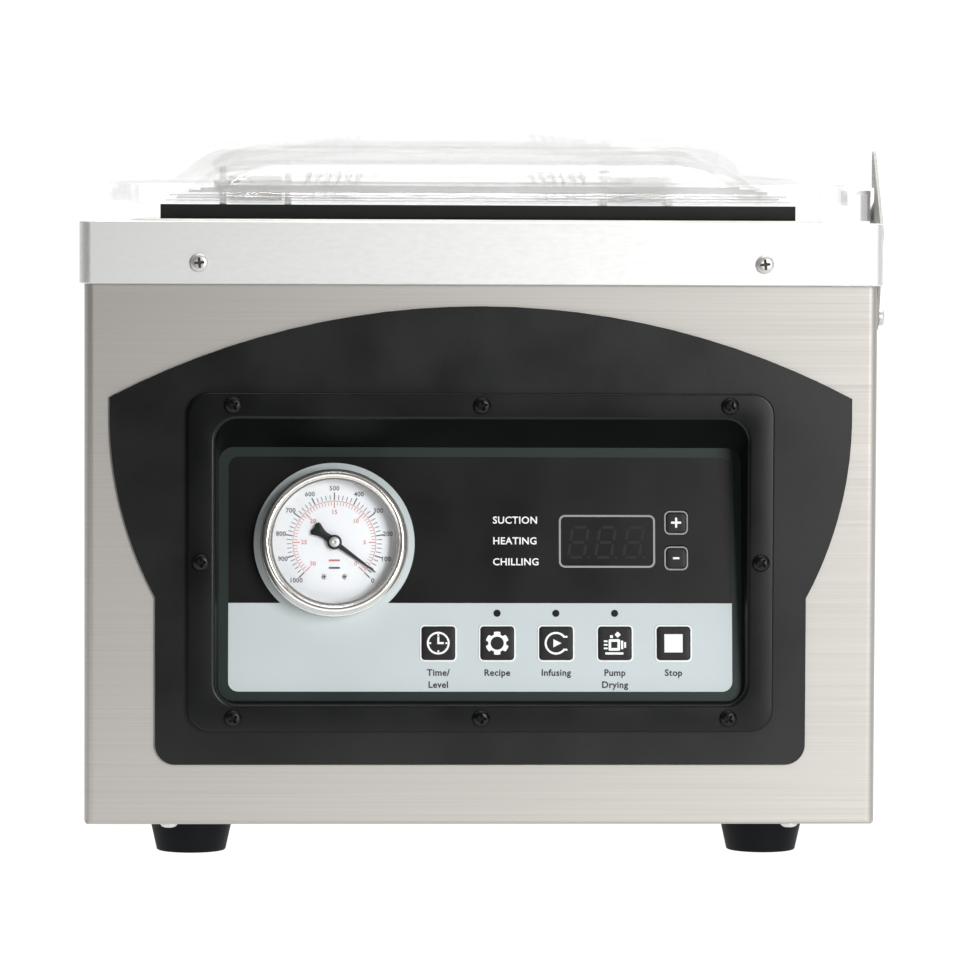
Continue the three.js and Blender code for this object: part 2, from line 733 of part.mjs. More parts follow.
function sealBar() {
  const half = BAR.width / 2;
  const s = new THREE.Shape(); // its section, drawn in y and z
  s.moveTo(-half, BAR.low);
  s.lineTo(half, BAR.low);
  s.lineTo(half, BAR.high - 5);
  s.lineTo(half - 2.5, BAR.high);
  s.lineTo(-half + 2.5, BAR.high);
  s.lineTo(-half, BAR.high - 5);
  const bar = prism(s, -BAR.half, BAR.half).rotateX(Math.PI / 2).rotateZ(Math.PI / 2);
  const posts = [-1, 1].map((side) => rod(BAR.post, side * BAR.postX, 0, BAR.postLow, BAR.low + 1, 20));
  return join(bar, ...posts).translate(0, BAR.y, 0);
}
add(machine, "seal_bar", sealBar(), aluminium);

for (const [name, side] of [["seal_cylinder_left", -1], ["seal_cylinder_right", 1]]) {
  const bore = BAR.post + 0.4;
  const top = CHAMBER.floor - SHEET - GAP;
  const { r, low, boreLow, collar, collarHeight } = CYLINDER;
  const cylinder = turned(
    [
      [0, low],
      [r, low],
      [r, top - collarHeight],
      [collar, top - collarHeight],
      [collar, top],
      [bore, top],
      [bore, boreLow],
      [0, boreLow],
    ],
    20,
  );
  add(machine, name, cylinder, turnedSteel).position.set(side * BAR.postX, BAR.y, 0);
}

// ---------------------------------------------------------------- the lid

// A thick clear sheet with a flat rim, wider at the front. Inside the rim it slopes up to a
// shoulder and crowns over to a low crest. The underside follows, one wall thickness below.
// Its hinge springs hold it a little clear of the gasket until it is pressed down.
function lidDome() {
  const { y, a, b, slope, r, shoulder, crest, wall } = DOME;
  const rising = (t, drop) => {
    const inset = slope * t + drop;
    const foot = drop ? LID.bottom : LID.top;
    const z = foot + (shoulder - drop - foot) * t * t * (3 - 2 * t);
    return { a: a - inset, b: b - inset, r: r - drop / 2, z, y };
  };
  const crown = (share, drop) => {
    const top = rising(1, drop);
    const z = top.z + (crest - shoulder) * (1 - share ** 2);
    return { a: top.a * share, b: top.b * share, r: top.r * share, z, y };
  };
  const face = (drop) => [
    ...[0, 0.25, 0.5, 0.75, 1].map((t) => rising(t, drop)),
    ...[0.8, 0.55, 0.3, 0.08].map((share) => crown(share, drop)),
  ];
  const rim = (inset, z) => ({ a: LID.a - inset, b: LID.b - inset, r: LID.r - inset, z });
  return stacked(
    [
      ...face(wall).reverse(),
      rim(1, LID.bottom),
      rim(0, LID.bottom + 1),
      rim(0, LID.top - 1),
      rim(1, LID.top),
      ...face(0),
    ],
    { y: CHAMBER.y },
  );
}
add(machine, "lid_dome", lidDome(), clear);

// The black strip that the sealing bar presses against, under the lid.
const STRIP = { half: 134.3, back: 6, low: TRAY.top + GAP, high: LID.bottom - 2 * GAP };
add(
  machine,
  "counter_strip",
  box(-STRIP.half, BAR.y - STRIP.back, STRIP.low, STRIP.half, BAR.y + STRIP.back, STRIP.high),
  blackSilicone,
);

// ---------------------------------------------------------------- the lid's hinge

const KNUCKLE_HALF = 13;
const STRAP = { grip: 14, thickness: 4 }; // the arm's strap lies this far over the lid's rim
const EAR = { inner: 14.5, outer: 18, reach: 11, top: 292, foot: 3 };
const ACROSS = EAR.outer + 2;
const hingeBore = (x0, x1, r) => alongX(rod(r, 0, 0, x0, x1)).translate(0, HINGE.y, HINGE.z);

function hingeArm(x) {
  const seat = LID.top + GAP;
  const lidRear = CHAMBER.y + LID.b;
  const [x0, x1] = [x - KNUCKLE_HALF, x + KNUCKLE_HALF];
  const strap = box(x0, lidRear - STRAP.grip, seat, x1, HINGE.y, seat + STRAP.thickness);
  const knuckle = hingeBore(x0, x1, HINGE.knuckle);
  // The knuckle stops short of the clear sheet's rear edge.
  const relief = box(x - ACROSS, CHAMBER.y, LID.bottom - 9, x + ACROSS, lidRear + GAP, seat);
  return cut(join(strap, knuckle), relief, hingeBore(x - ACROSS, x + ACROSS, HINGE.bore));
}

function hingeBracket(x) {
  const base = TRAY.top + GAP;
  const [y0, y1] = [HINGE.y - EAR.reach, HINGE.y + EAR.reach];
  const foot = box(x - EAR.outer, y0, base, x + EAR.outer, y1, base + EAR.foot);
  const ears = [
    [-EAR.outer, -EAR.inner],
    [EAR.inner, EAR.outer],
  ].map(([x0, x1]) => box(x + x0, y0, base, x + x1, y1, EAR.top));
  return cut(join(foot, ...ears), hingeBore(x - ACROSS, x + ACROSS, HINGE.bore));
}

class Coil extends THREE.Curve {
  constructor(x0, x1, r, turns) {
    super();
    Object.assign(this, { x0, x1, r, turns });
  }
  getPoint(t, target = new THREE.Vector3()) {
    const angle = 2 * Math.PI * this.turns * t;
    const x = this.x0 + (this.x1 - this.x0) * t;
    return target.set(x, HINGE.y + this.r * Math.cos(angle), HINGE.z + this.r * Math.sin(angle));
  }
}
const SPRING = { from: 42, to: 72, r: 6.6, wire: 1.2, turns: 6 };

for (const [name, side] of [["left", -1], ["right", 1]]) {
  const x = side * HINGE.x;
  add(machine, `hinge_arm_${name}`, hingeArm(x), turnedSteel);
  add(machine, `hinge_bracket_${name}`, hingeBracket(x), turnedSteel);
  const coil = new Coil(side * SPRING.from, side * SPRING.to, SPRING.r, SPRING.turns);
  add(machine, `hinge_spring_${name}`, swept(coil, SPRING.wire, SPRING.turns * 10, 5), springSteel);
}
const ROD_HALF = HINGE.x + EAR.outer + 3;
add(machine, "hinge_rod", hingeBore(-ROD_HALF, ROD_HALF, HINGE.rod), turnedSteel);

// ---------------------------------------------------------------- the lid's side latch

// The keeper is a small channel on the lid's side, open downwards. Its outer leg hangs over the
// tray's edge and carries a pin out past the latch.
const PIN = { r: 3.2, proud: 1.6 };
const KEEPER = { outer: 166.2, thickness: 1.5, front: -192, rear: -167, low: TRAY.top + 1, top: 279.8 };
function lidKeeper() {
  const { outer, thickness, front: y0, rear: y1, low, top } = KEEPER;
  const inner = LID.a + GAP;
  const leg = outer - thickness;
  const pinEnd = LATCH.x + LATCH.thickness + PIN.proud;
  const pin = alongX(rod(PIN.r, 0, 0, leg + 1, pinEnd, 16));
  return join(
    box(inner, y0, top - thickness, outer, y1, top),
    box(inner, y0, LID.bottom, inner + thickness, y1, top),
    box(leg, y0, low, outer, y1, top),
    pin.translate(0, LATCH.pinY, LATCH.pinZ),
  );
}
add(machine, "lid_keeper", lidKeeper(), turnedSteel);

// The latch is a flat hook. Its slot follows the arc that carries it onto the keeper's pin.
const HOOK = { foot: 5.5, tip: 3, tipY: 12, tipZ: 67, backY: 15, jawY: 21, chinY: -21, chinZ: 36 };
function lidLatch() {
  const [py, pz] = [LATCH.pivotY, LATCH.pivotZ];
  const [dy, dz] = [LATCH.pinY - py, LATCH.pinZ - pz];
  const reach = Math.hypot(dy, dz);
  const locked = Math.atan2(dz, dy);
  const parked = locked + rad(LATCH_TURN);
  const s = new THREE.Shape(); // drawn in y and z, seen from the right
  s.absarc(py, pz, HOOK.foot, rad(195), rad(345));
  s.lineTo(py + HOOK.jawY, pz + HOOK.chinZ);
  s.lineTo(py + HOOK.jawY, pz + dz);
  s.lineTo(py + HOOK.backY, pz + dz + PIN.r);
  s.lineTo(py + HOOK.backY, pz + HOOK.tipZ);
  s.absarc(py + HOOK.tipY, pz + HOOK.tipZ, HOOK.tip, rad(0), rad(150));
  s.lineTo(py + HOOK.chinY, pz + HOOK.chinZ);
  s.closePath();
  const plate = prism(s, 0, LATCH.thickness, 6);
  const halfSlot = PIN.r + 0.6;
  const slot = new THREE.Shape();
  const mouth = locked - rad(3);
  slot.absarc(py, pz, reach + halfSlot, mouth, parked);
  slot.absarc(
    py + reach * Math.cos(parked),
    pz + reach * Math.sin(parked),
    halfSlot,
    parked,
    parked + Math.PI,
  );
  slot.absarc(py, pz, reach - halfSlot, parked, mouth, true);
  slot.closePath();
  const flat = cut(plate, prism(slot, -5, 9, 6), rod(PIVOT.r + 0.4, py, pz, -5, 9, 20));
  return flat.rotateX(Math.PI / 2).rotateZ(Math.PI / 2).translate(LATCH.x, 0, 0);
}
add(machine, "lid_latch", lidLatch(), turnedSteel);

const latchFace = LATCH.x + LATCH.thickness;
const latchScrew = turned(
  [
    [0, CASE.w / 2 + GAP],
    [PIVOT.collar, CASE.w / 2 + GAP],
    [PIVOT.collar, LATCH.x - GAP],
    [PIVOT.r, LATCH.x - GAP],
    [PIVOT.r, latchFace + GAP],
    [PIVOT.head, latchFace + GAP],
    [PIVOT.head, latchFace + PIVOT.height - PIVOT.edge],
    [PIVOT.head - PIVOT.edge, latchFace + PIVOT.height],
    [0, latchFace + PIVOT.height],
  ],
  20,
);
add(machine, "latch_screw", alongX(latchScrew).translate(0, LATCH.pivotY, LATCH.pivotZ), turnedSteel);

// ---------------------------------------------------------------- the mains inlet and its switch

// Local x is to the left of the machine, local y is up and local z stands out of the rear cover.
const rear = new THREE.Group();
rear.rotation.set(Math.PI / 2, Math.PI, 0);
rear.position.set(INLET.x, REAR_COVER.to, INLET.z);
machine.add(rear);

const SOCKET = { halfWidth: 12, low: -22, high: -5, depth: 17 };
const SWITCH = { low: 0, high: 22, halfWidth: 8, pin: -1, tilt: 8 };
add(
  rear,
  "mains_inlet",
  cut(
    join(
      prism(roundedRect(-17, -29, 17, 29, 3), GAP, 2.5),
      prism(roundedRect(-INLET.half, -INLET.tall, INLET.half, INLET.tall, 2), -26, 1),
    ),
    box(-SOCKET.halfWidth, SOCKET.low, 2.5 - SOCKET.depth, SOCKET.halfWidth, SOCKET.high, 9),
    box(-SWITCH.halfWidth, SWITCH.low, -8, SWITCH.halfWidth, SWITCH.high, 9),
  ),
  blackMoulding,
);

// The rocker turns about a pin across the middle of its recess.
function rocker() {
  const s = new THREE.Shape(); // its section, drawn along the switch and outwards
  s.moveTo(-3.6, -5.4);
  s.lineTo(3.6, -5.4);
  s.lineTo(9.4, 3.4);
  s.lineTo(8.8, 4.6);
  s.lineTo(0, 2.4);
  s.lineTo(-8.8, 4.6);
  s.lineTo(-9.4, 3.4);
  return prism(s, -SWITCH.halfWidth + 0.5, SWITCH.halfWidth - 0.5).rotateX(Math.PI / 2).rotateZ(Math.PI / 2);
}
const switchCap = add(rear, "power_switch", rocker(), blackMoulding);
switchCap.position.set(0, (SWITCH.low + SWITCH.high) / 2, SWITCH.pin);
switchCap.rotation.x = rad(SWITCH.tilt);

// ---------------------------------------------------------------- the works inside

const MOTOR_FOOT = { x: 34, half: 9, drop: 8, inset: 14 };
const SHAFT = { r: 5, length: 26 };
function motorBody() {
  const { x, z, r, front: y0, rear: y1 } = MOTOR;
  const { x: footX, half, drop, inset } = MOTOR_FOOT;
  const shell = rod(r, 0, 0, y0, y1, 28);
  const feet = [-footX, footX].map((at) =>
    box(at - half, -r - drop, y0 + inset, at + half, -r + 2 * drop, y1 - inset),
  );
  const shaft = rod(SHAFT.r, 0, 0, y1 - 1, y1 + SHAFT.length, 16);
  const body = join(shell, ...feet, shaft); // drawn with z along the axis and y up
  return body.rotateX(Math.PI / 2).rotateZ(Math.PI).translate(x, 0, z);
}
add(machine, "pump_motor", motorBody(), motorPaint);

const FAN = { hub: 14, from: 8, tip: 44, half: 6, blade: 1.2, pitch: 28, blades: 6, past: 14 };
function motorFan() {
  const hub = rod(FAN.hub, 0, 0, -FAN.half, FAN.half, 20);
  const blades = [];
  for (let i = 0; i < FAN.blades; i++) {
    const blade = box(-FAN.blade, FAN.from, -FAN.half, FAN.blade, FAN.tip, FAN.half);
    blades.push(blade.rotateY(rad(FAN.pitch)).rotateZ((2 * Math.PI * i) / FAN.blades));
  }
  return cut(join(hub, ...blades), rod(SHAFT.r + 0.4, 0, 0, -9, 9, 16));
}
const fan = add(machine, "motor_fan", motorFan(), blackMoulding);
fan.rotation.x = Math.PI / 2;
fan.position.set(MOTOR.x, MOTOR.rear + FAN.past, MOTOR.z);

// The pump is a block on the motor's flange, with its inlet on top. Its sizes are about the axis.
const PUMP = { left: 56, right: 52, up: 44, down: 50, length: 92, flange: 46, flangeDepth: 15 };
const PUMP_NECK = { x: -30, y: -50, r: 9, top: 62 };
const PUMP_FOOT = { inset: 6, height: 14 };
function vacuumPump() {
  const { x, z } = MOTOR;
  const y1 = MOTOR.front - GAP;
  const { left, right, up, down, length, flange: flangeR, flangeDepth } = PUMP;
  const { inset, height } = PUMP_FOOT;
  const block = box(x - left, y1 - length, z - down, x + right, y1 - flangeDepth + 1, z + up);
  const flange = rod(flangeR, 0, 0, 0, flangeDepth, 28).rotateX(Math.PI / 2).translate(x, y1, z);
  const neck = rod(PUMP_NECK.r, x + PUMP_NECK.x, y1 + PUMP_NECK.y, z + up - 4, z + PUMP_NECK.top, 20);
  const feet = box(
    x - left + inset,
    y1 - length + inset,
    z - down - height,
    x + right - inset,
    y1 - flangeDepth - inset + 1,
    z - down + 1,
  );
  return join(block, flange, neck, feet);
}
add(machine, "vacuum_pump", vacuumPump(), castIron);

const TRANSFORMER = { x: -108, y: 10, z: 18.9, half: 36, depth: 24, height: 62 };
const WINDING = { half: 24, depth: 38, inset: 12 };
function transformer() {
  const { x, y, z, half, depth, height } = TRANSFORMER;
  const { half: coil, depth: out, inset } = WINDING;
  return join(
    box(x - half, y - depth, z, x + half, y + depth, z + height),
    box(x - coil, y - out, z + inset, x + coil, y + out, z + height - inset),
  );
}
add(machine, "seal_transformer", transformer(), laminations);

// The valve block hangs under the chamber, with a neck up through the port and one to the hose.
const VALVE = { half: 20, depth: 18, low: 138, high: 176, coil: 11, coilX: -8, coilLow: 108, neck: 6.5 };
const NECK = { z: 152, reach: 36 };
function valveBlock() {
  const { x, y, r } = PORT;
  const { half, depth, low, high, coil, coilX, coilLow, neck } = VALVE;
  return join(
    box(x - half, y - depth, low, x + half, y + depth, high),
    rod(r - 0.6, x, y, high - 6, CHAMBER.floor + 4, 16),
    rod(coil, x + coilX, y, coilLow, low + 2, 20),
    alongX(rod(neck, 0, 0, half - 2, NECK.reach, 16)).translate(x, y, NECK.z),
  );
}
add(machine, "valve_block", valveBlock(), brass);

// The hose leaves the valve block's side neck and comes down on the pump's neck.
const HOSE = 7; // its radius
function suctionHose() {
  const [x0, y0, z0] = [PORT.x + NECK.reach + GAP, PORT.y, NECK.z];
  const [x1, y1] = [MOTOR.x + PUMP_NECK.x, MOTOR.front - GAP + PUMP_NECK.y];
  const z1 = MOTOR.z + PUMP_NECK.top + GAP;
  const points = [
    [x0, y0, z0],
    [x0 + 12, y0, z0],
    [x0 + 34, y0 - 34, z0 + 12],
    [-22, 30, 172],
    [x1 - 6, y1 + 46, 179],
    [x1, y1 + 6, z1 + 16],
    [x1, y1, z1 + 6],
    [x1, y1, z1],
  ];
  const route = points.map((p) => new THREE.Vector3(...p));
  return swept(new THREE.CatmullRomCurve3(route, false, "centripetal"), HOSE, 24, 8);
}
add(machine, "suction_hose", suctionHose(), hoseRubber);

export default machine;
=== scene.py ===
"""A tabletop vacuum packing machine, dressed for its studio picture.

Sizes in the source are millimetres. The CAD frame gives every place: pieces are built around
its boxes and joint axes, and each one rides on the CAD body that carries it.
"""

import json
import random
from math import asin, cos, degrees, pi, radians, sin, tan

import bmesh
import bpy
from mathutils import Matrix, Vector


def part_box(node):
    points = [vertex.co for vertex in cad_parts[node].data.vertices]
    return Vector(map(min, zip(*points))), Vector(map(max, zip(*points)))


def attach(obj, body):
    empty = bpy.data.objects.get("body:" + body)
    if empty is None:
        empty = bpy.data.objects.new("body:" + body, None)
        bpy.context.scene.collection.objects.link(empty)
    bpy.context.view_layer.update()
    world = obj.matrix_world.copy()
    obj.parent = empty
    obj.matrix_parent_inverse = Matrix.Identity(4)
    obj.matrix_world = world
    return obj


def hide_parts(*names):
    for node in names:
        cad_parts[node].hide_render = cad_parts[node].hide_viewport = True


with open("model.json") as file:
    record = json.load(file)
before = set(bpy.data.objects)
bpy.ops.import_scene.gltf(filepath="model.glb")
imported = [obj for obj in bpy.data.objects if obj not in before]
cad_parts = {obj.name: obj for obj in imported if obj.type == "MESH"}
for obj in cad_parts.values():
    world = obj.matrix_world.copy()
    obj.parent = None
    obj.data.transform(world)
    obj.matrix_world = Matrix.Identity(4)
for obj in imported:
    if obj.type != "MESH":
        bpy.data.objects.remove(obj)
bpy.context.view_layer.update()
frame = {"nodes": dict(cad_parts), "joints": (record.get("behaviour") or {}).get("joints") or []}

MM = 0.001
ROOT = "root"
joints = {joint["name"]: joint for joint in frame["joints"]}
random.seed(7)


# ------------------------------------------------------------------ places taken from the frame

def cad(node):
    """The lowest and highest corner of a CAD node, in millimetres."""
    low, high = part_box(node)
    return Vector(low) / MM, Vector(high) / MM


def middle(node):
    low, high = cad(node)
    return (low + high) / 2


FRONT_Y = cad("housing_shell")[0].y
FRONT = Matrix(((1, 0, 0, 0), (0, 0, -1, FRONT_Y), (0, 1, 0, 0), (0, 0, 0, 1)))

needle_joint = joints["gauge_needle_turn"]
NEEDLE_OUT = 5.7  # from the panel's face to the middle of the needle
out_of_panel = Vector(needle_joint["axis"]).normalized()
up_panel = out_of_panel.cross(Vector((1, 0, 0))).normalized()
gauge_foot = Vector(needle_joint["pos_m"]) / MM - out_of_panel * NEEDLE_OUT
GAUGE_X = gauge_foot.x


def panel_matrix():
    """From (x, distance up the panel from the gauge's middle, distance out of it) to the row frame."""
    m = Matrix.Identity(4)
    for row in range(3):
        m[row][0] = (1, 0, 0)[row]
        m[row][1] = up_panel[row]
        m[row][2] = out_of_panel[row]
        m[row][3] = (0, gauge_foot.y, gauge_foot.z)[row]
    return m


PANEL = panel_matrix()
GAUGE = PANEL @ Matrix.Translation((GAUGE_X, 0, 0))


def up(height):
    """How far up the panel a height above the floor lies."""
    return (height - gauge_foot.z) / up_panel.z


# ------------------------------------------------------------------ outlines

def arc(cx, cy, radius, start, end, steps=8):
    """Points on an arc, by angles in degrees."""
    turn = [radians(start + (end - start) * i / steps) for i in range(steps + 1)]
    return [(cx + radius * cos(t), cy + radius * sin(t)) for t in turn]


def circle(cx, cy, radius, steps=48):
    return arc(cx, cy, radius, 0, 360 - 360 / steps, steps - 1)


def rectangle(x0, y0, x1, y1, radius=0.0, steps=6):
    if radius <= 0:
        return [(x0, y0), (x1, y0), (x1, y1), (x0, y1)]
    corners = ((x1, y0, -1, 1, -90), (x1, y1, -1, -1, 0), (x0, y1, 1, -1, 90), (x0, y0, 1, 1, 180))
    points = []
    for x, y, sx, sy, angle in corners:
        points += arc(x + sx * radius, y + sy * radius, radius, angle, angle + 90, steps)
    return points


def square(cx, cy, size, radius=0.0, steps=5):
    h = size / 2
    return rectangle(cx - h, cy - h, cx + h, cy + h, radius, steps)


def turned(points, angle, cx=0.0, cy=0.0):
    """An outline turned by degrees about (0, 0) and moved."""
    c, s = cos(radians(angle)), sin(radians(angle))
    return [(cx + c * x - s * y, cy + s * x + c * y) for x, y in points]


def fillet(points, radius, steps=4, closed=False):
    """A polyline with its corners rounded. The radius is one number, or one for each corner."""
    count = len(points)
    radii = radius if isinstance(radius, (list, tuple)) else [radius] * count
    result = []
    for i, (point, r) in enumerate(zip(points, radii)):
        if r <= 0 or (not closed and i in (0, count - 1)):
            result.append(tuple(point))
            continue
        corner = Vector(point)
        before = Vector(points[i - 1]) - corner
        after = Vector(points[(i + 1) % count]) - corner
        half = before.angle(after) / 2
        reach = min(r / tan(half), before.length * 0.49, after.length * 0.49)
        first, last = corner + before.normalized() * reach, corner + after.normalized() * reach
        centre_way = (before.normalized() + after.normalized()).normalized()
        centre = corner + centre_way * (reach / cos(half))
        bend = reach * tan(half)
        for k in range(steps + 1):
            ray = (first - centre).slerp(last - centre, k / steps).normalized()
            result.append(tuple(centre + ray * bend))
    return result


# ------------------------------------------------------------------ meshes

def skin(loops, closed=False):
    """A mesh through loops of 3-D points with equal counts. closed joins the last loop to the first."""
    bm = bmesh.new()
    rows = [[bm.verts.new(p) for p in loop] for loop in loops]
    count = len(rows[0])
    pairs = list(zip(rows, rows[1:] + rows[:1])) if closed else list(zip(rows, rows[1:]))
    for low, high in pairs:
        for i in range(count):
            j = (i + 1) % count
            bm.faces.new((low[i], low[j], high[j], high[i]))
    if not closed:
        bm.faces.new(rows[0][::-1])
        bm.faces.new(rows[-1])
    return tidy(bm)


def tidy(bm):
    distance = 1e-4
    bmesh.ops.remove_doubles(bm, verts=bm.verts, dist=distance)
    bmesh.ops.dissolve_degenerate(bm, edges=bm.edges, dist=distance)
    bmesh.ops.recalc_face_normals(bm, faces=bm.faces)
    return bm


def lathe(profile, steps=64):
    """A piece turned about z from [(radius, z)], starting and ending on the axis or closing on itself."""
    on_axis = profile[0][0] < 1e-6 and profile[-1][0] < 1e-6
    loops = [[(r * cos(t), r * sin(t), z) for r, z in profile]
             for t in (2 * pi * i / steps for i in range(steps))]
    bm = bmesh.new()
    rows = [[bm.verts.new(p) for p in loop] for loop in loops]
    count = len(profile)
    for i in range(steps):
        a, b = rows[i], rows[(i + 1) % steps]
        for k in range(count - 1 if on_axis else count):
            n = (k + 1) % count
            bm.faces.new((a[k], b[k], b[n], a[n]))
    return tidy(bm)


def block(x0, y0, z0, x1, y1, z1, edge=0.6, segments=3):
    """A box between two corners with rounded edges."""
    bm = bmesh.new()
    bmesh.ops.create_cube(bm, size=1)
    bm.transform(Matrix.Diagonal((x1 - x0, y1 - y0, z1 - z0, 1)))
    bm.transform(Matrix.Translation(((x0 + x1) / 2, (y0 + y1) / 2, (z0 + z1) / 2)))
    bmesh.ops.bevel(bm, geom=bm.edges[:], offset=edge, segments=segments, profile=0.5, affect="EDGES")
    return tidy(bm)


def plate(outlines, z0, z1, edge=0.0, segments=2):
    """A flat piece from outlines in x and y; an outline inside another is a hole."""
    data = bpy.data.curves.new("plate", "CURVE")
    data.dimensions = "2D"
    data.fill_mode = "BOTH"
    data.extrude = (z1 - z0) / 2 - edge
    data.bevel_depth = edge
    data.bevel_resolution = segments
    data.offset = -edge
    for outline in outlines:
        spline = data.splines.new("POLY")
        spline.points.add(len(outline) - 1)
        for point, (x, y) in zip(spline.points, outline):
            point.co = (x, y, 0, 1)
        spline.use_cyclic_u = True
    return baked(data, Matrix.Translation((0, 0, (z0 + z1) / 2)))


def lettering(text, height, z0, z1, x=0.0, y=0.0, align="CENTER", weight=0.0):
    """Plain letters or numbers of a cap height, standing on a face. weight thickens their strokes."""
    data = bpy.data.curves.new("letters", "FONT")
    data.body = text
    data.size = height / 0.72
    data.align_x = align
    data.align_y = "CENTER"
    data.extrude = (z1 - z0) / 2
    data.offset = weight
    data.space_character = 1.06
    data.resolution_u = 3
    return baked(data, Matrix.Translation((x, y, (z0 + z1) / 2)))


def linked(name, data):
    """A new scene object that holds the data."""
    obj = bpy.data.objects.new(name, data)
    bpy.context.scene.collection.objects.link(obj)
    return obj


def as_mesh(name, bm):
    mesh = bpy.data.meshes.new(name)
    bm.to_mesh(mesh)
    bm.free()
    return mesh


def evaluated(obj):
    """An object's final mesh, as bmesh."""
    mesh = bpy.data.meshes.new_from_object(obj.evaluated_get(bpy.context.evaluated_depsgraph_get()))
    bm = bmesh.new()
    bm.from_mesh(mesh)
    bpy.data.meshes.remove(mesh)
    return bm


def baked(curve, matrix):
    """A curve's or text's mesh, as bmesh."""
    holder = linked("holder", curve)
    bm = moved(evaluated(holder), matrix)
    bpy.data.objects.remove(holder)
    bpy.data.curves.remove(curve)
    return tidy(bm)


def joined(*parts):
    """Several meshes as one."""
    whole = bmesh.new()
    for part in parts:
        mesh = as_mesh("part", part)
        whole.from_mesh(mesh)
        bpy.data.meshes.remove(mesh)
    return whole


def moved(bm, matrix):
    bm.transform(matrix)
    return bm


def piece(name, bm, material, slot, body=ROOT, place=None, replaces=(), sharp=38):
    """Makes a scene object from a mesh in millimetres, with its body and material. The slot is not used."""
    if place is not None:
        bm.transform(place)
    bm.transform(Matrix.Scale(MM, 4))
    mesh = as_mesh(name, bm)
    mesh.shade_smooth()
    mesh.set_sharp_from_angle(angle=radians(sharp))
    mesh.materials.append(material)
    obj = linked(name, mesh)
    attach(obj, body)
    if replaces:
        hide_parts(*replaces)


def modify(obj, name, kind, **settings):
    modifier = obj.modifiers.new(name, kind)
    for setting, value in settings.items():
        setattr(modifier, setting, value)


def carry(node, material, bevel=0.0):
    """Keeps a CAD node, with its own material and its edges rounded by modifiers."""
    obj = frame["nodes"][node]
    obj.data.materials.clear()
    obj.data.materials.append(material)
    for polygon in obj.data.polygons:
        polygon.use_smooth = True
    modify(obj, "weld", "WELD", merge_threshold=1e-5)
    modify(obj, "flat faces", "DECIMATE", decimate_type="DISSOLVE", angle_limit=radians(0.5))
    if bevel:
        modify(obj, "rounding", "BEVEL", width=bevel * MM, segments=3, limit_method="ANGLE",
               angle_limit=radians(40))
        modify(obj, "even shading", "WEIGHTED_NORMAL", weight=90, keep_sharp=True)
    else:
        modify(obj, "sharp edges", "EDGE_SPLIT", split_angle=radians(40))


# ------------------------------------------------------------------ materials

def put(node, **values):
    """Sets a shader node's inputs by their names, with _ for a space."""
    for socket, value in values.items():
        node.inputs[socket.replace("_", " ")].default_value = value


class Surface:
    """A Principled material built up from object-space noise."""

    def __init__(self, name, color, roughness, metallic=0.0, **sockets):
        self.material = bpy.data.materials.new(name)
        self.material.use_nodes = True
        self.tree = self.material.node_tree
        self.shader = self.tree.nodes["Principled BSDF"]
        self.color = (*color, 1.0)
        self.roughness = roughness
        put(self.shader, Base_Color=self.color, Roughness=roughness, Metallic=metallic)
        put(self.shader, **sockets)
        self.coordinates = self.tree.nodes.new("ShaderNodeTexCoord")

    def node(self, kind, **settings):
        made = self.tree.nodes.new(kind)
        for key, value in settings.items():
            setattr(made, key, value)
        return made

    def link(self, source, target):
        self.tree.links.new(source, target)

    def noise(self, scale, stretch=(1, 1, 1), detail=3.0):
        """Noise in object space with so many features to a metre, stretched by axis."""
        mapping = self.node("ShaderNodeMapping")
        put(mapping, Scale=[scale * s for s in stretch])
        self.link(self.coordinates.outputs["Object"], mapping.inputs["Vector"])
        texture = self.node("ShaderNodeTexNoise")
        put(texture, Scale=1.0, Detail=detail, Distortion=0.0)
        self.link(mapping.outputs["Vector"], texture.inputs["Vector"])
        return texture.outputs["Fac"]

    def spread(self, factor, low, high):
        ramp = self.node("ShaderNodeMapRange")
        put(ramp, From_Min=0.3, From_Max=0.7, To_Min=low, To_Max=high)
        self.link(factor, ramp.inputs["Value"])
        return ramp.outputs["Result"]

    def tint(self, factor, other):
        """Base colour runs to another colour where the factor is high."""
        mix = self.node("ShaderNodeMix", data_type="RGBA")
        source = self.shader.inputs["Base Color"]
        if source.is_linked:
            self.link(source.links[0].from_socket, mix.inputs["A"])
        else:
            put(mix, A=self.color)
        put(mix, B=(*other, 1.0))
        self.link(factor, mix.inputs["Factor"])
        self.link(mix.outputs["Result"], source)
        return self

    def gloss(self, factor, low, high):
        self.link(self.spread(factor, low, high), self.shader.inputs["Roughness"])
        return self

    def relief(self, factor, depth):
        """Bumps of a depth in millimetres."""
        bump = self.node("ShaderNodeBump")
        put(bump, Strength=1.0, Distance=depth * MM)
        normal = self.shader.inputs["Normal"]
        if normal.is_linked:
            self.link(normal.links[0].from_socket, bump.inputs["Normal"])
        self.link(factor, bump.inputs["Height"])
        self.link(bump.outputs["Normal"], normal)
        return self


def moulded(name, color, roughness, grain=900, depth=0.02, variation=0.12, **sockets):
    """Plastic, rubber or paint: a fine grain, and a slight drift in colour and gloss."""
    s = Surface(name, color, roughness, **sockets)
    cloud = s.noise(35, detail=4)
    s.tint(s.spread(cloud, 0.0, 1.0), [min(1.0, c * (1 + variation)) for c in color])
    s.gloss(cloud, roughness - 0.05, roughness + 0.06)
    s.relief(s.noise(grain, detail=2), depth)
    return s.material


def printed(name, color, depth=0.002, **sockets):
    """Ink on an overlay: even and matt."""
    return moulded(name, color, 0.5, grain=3000, depth=depth, **sockets)


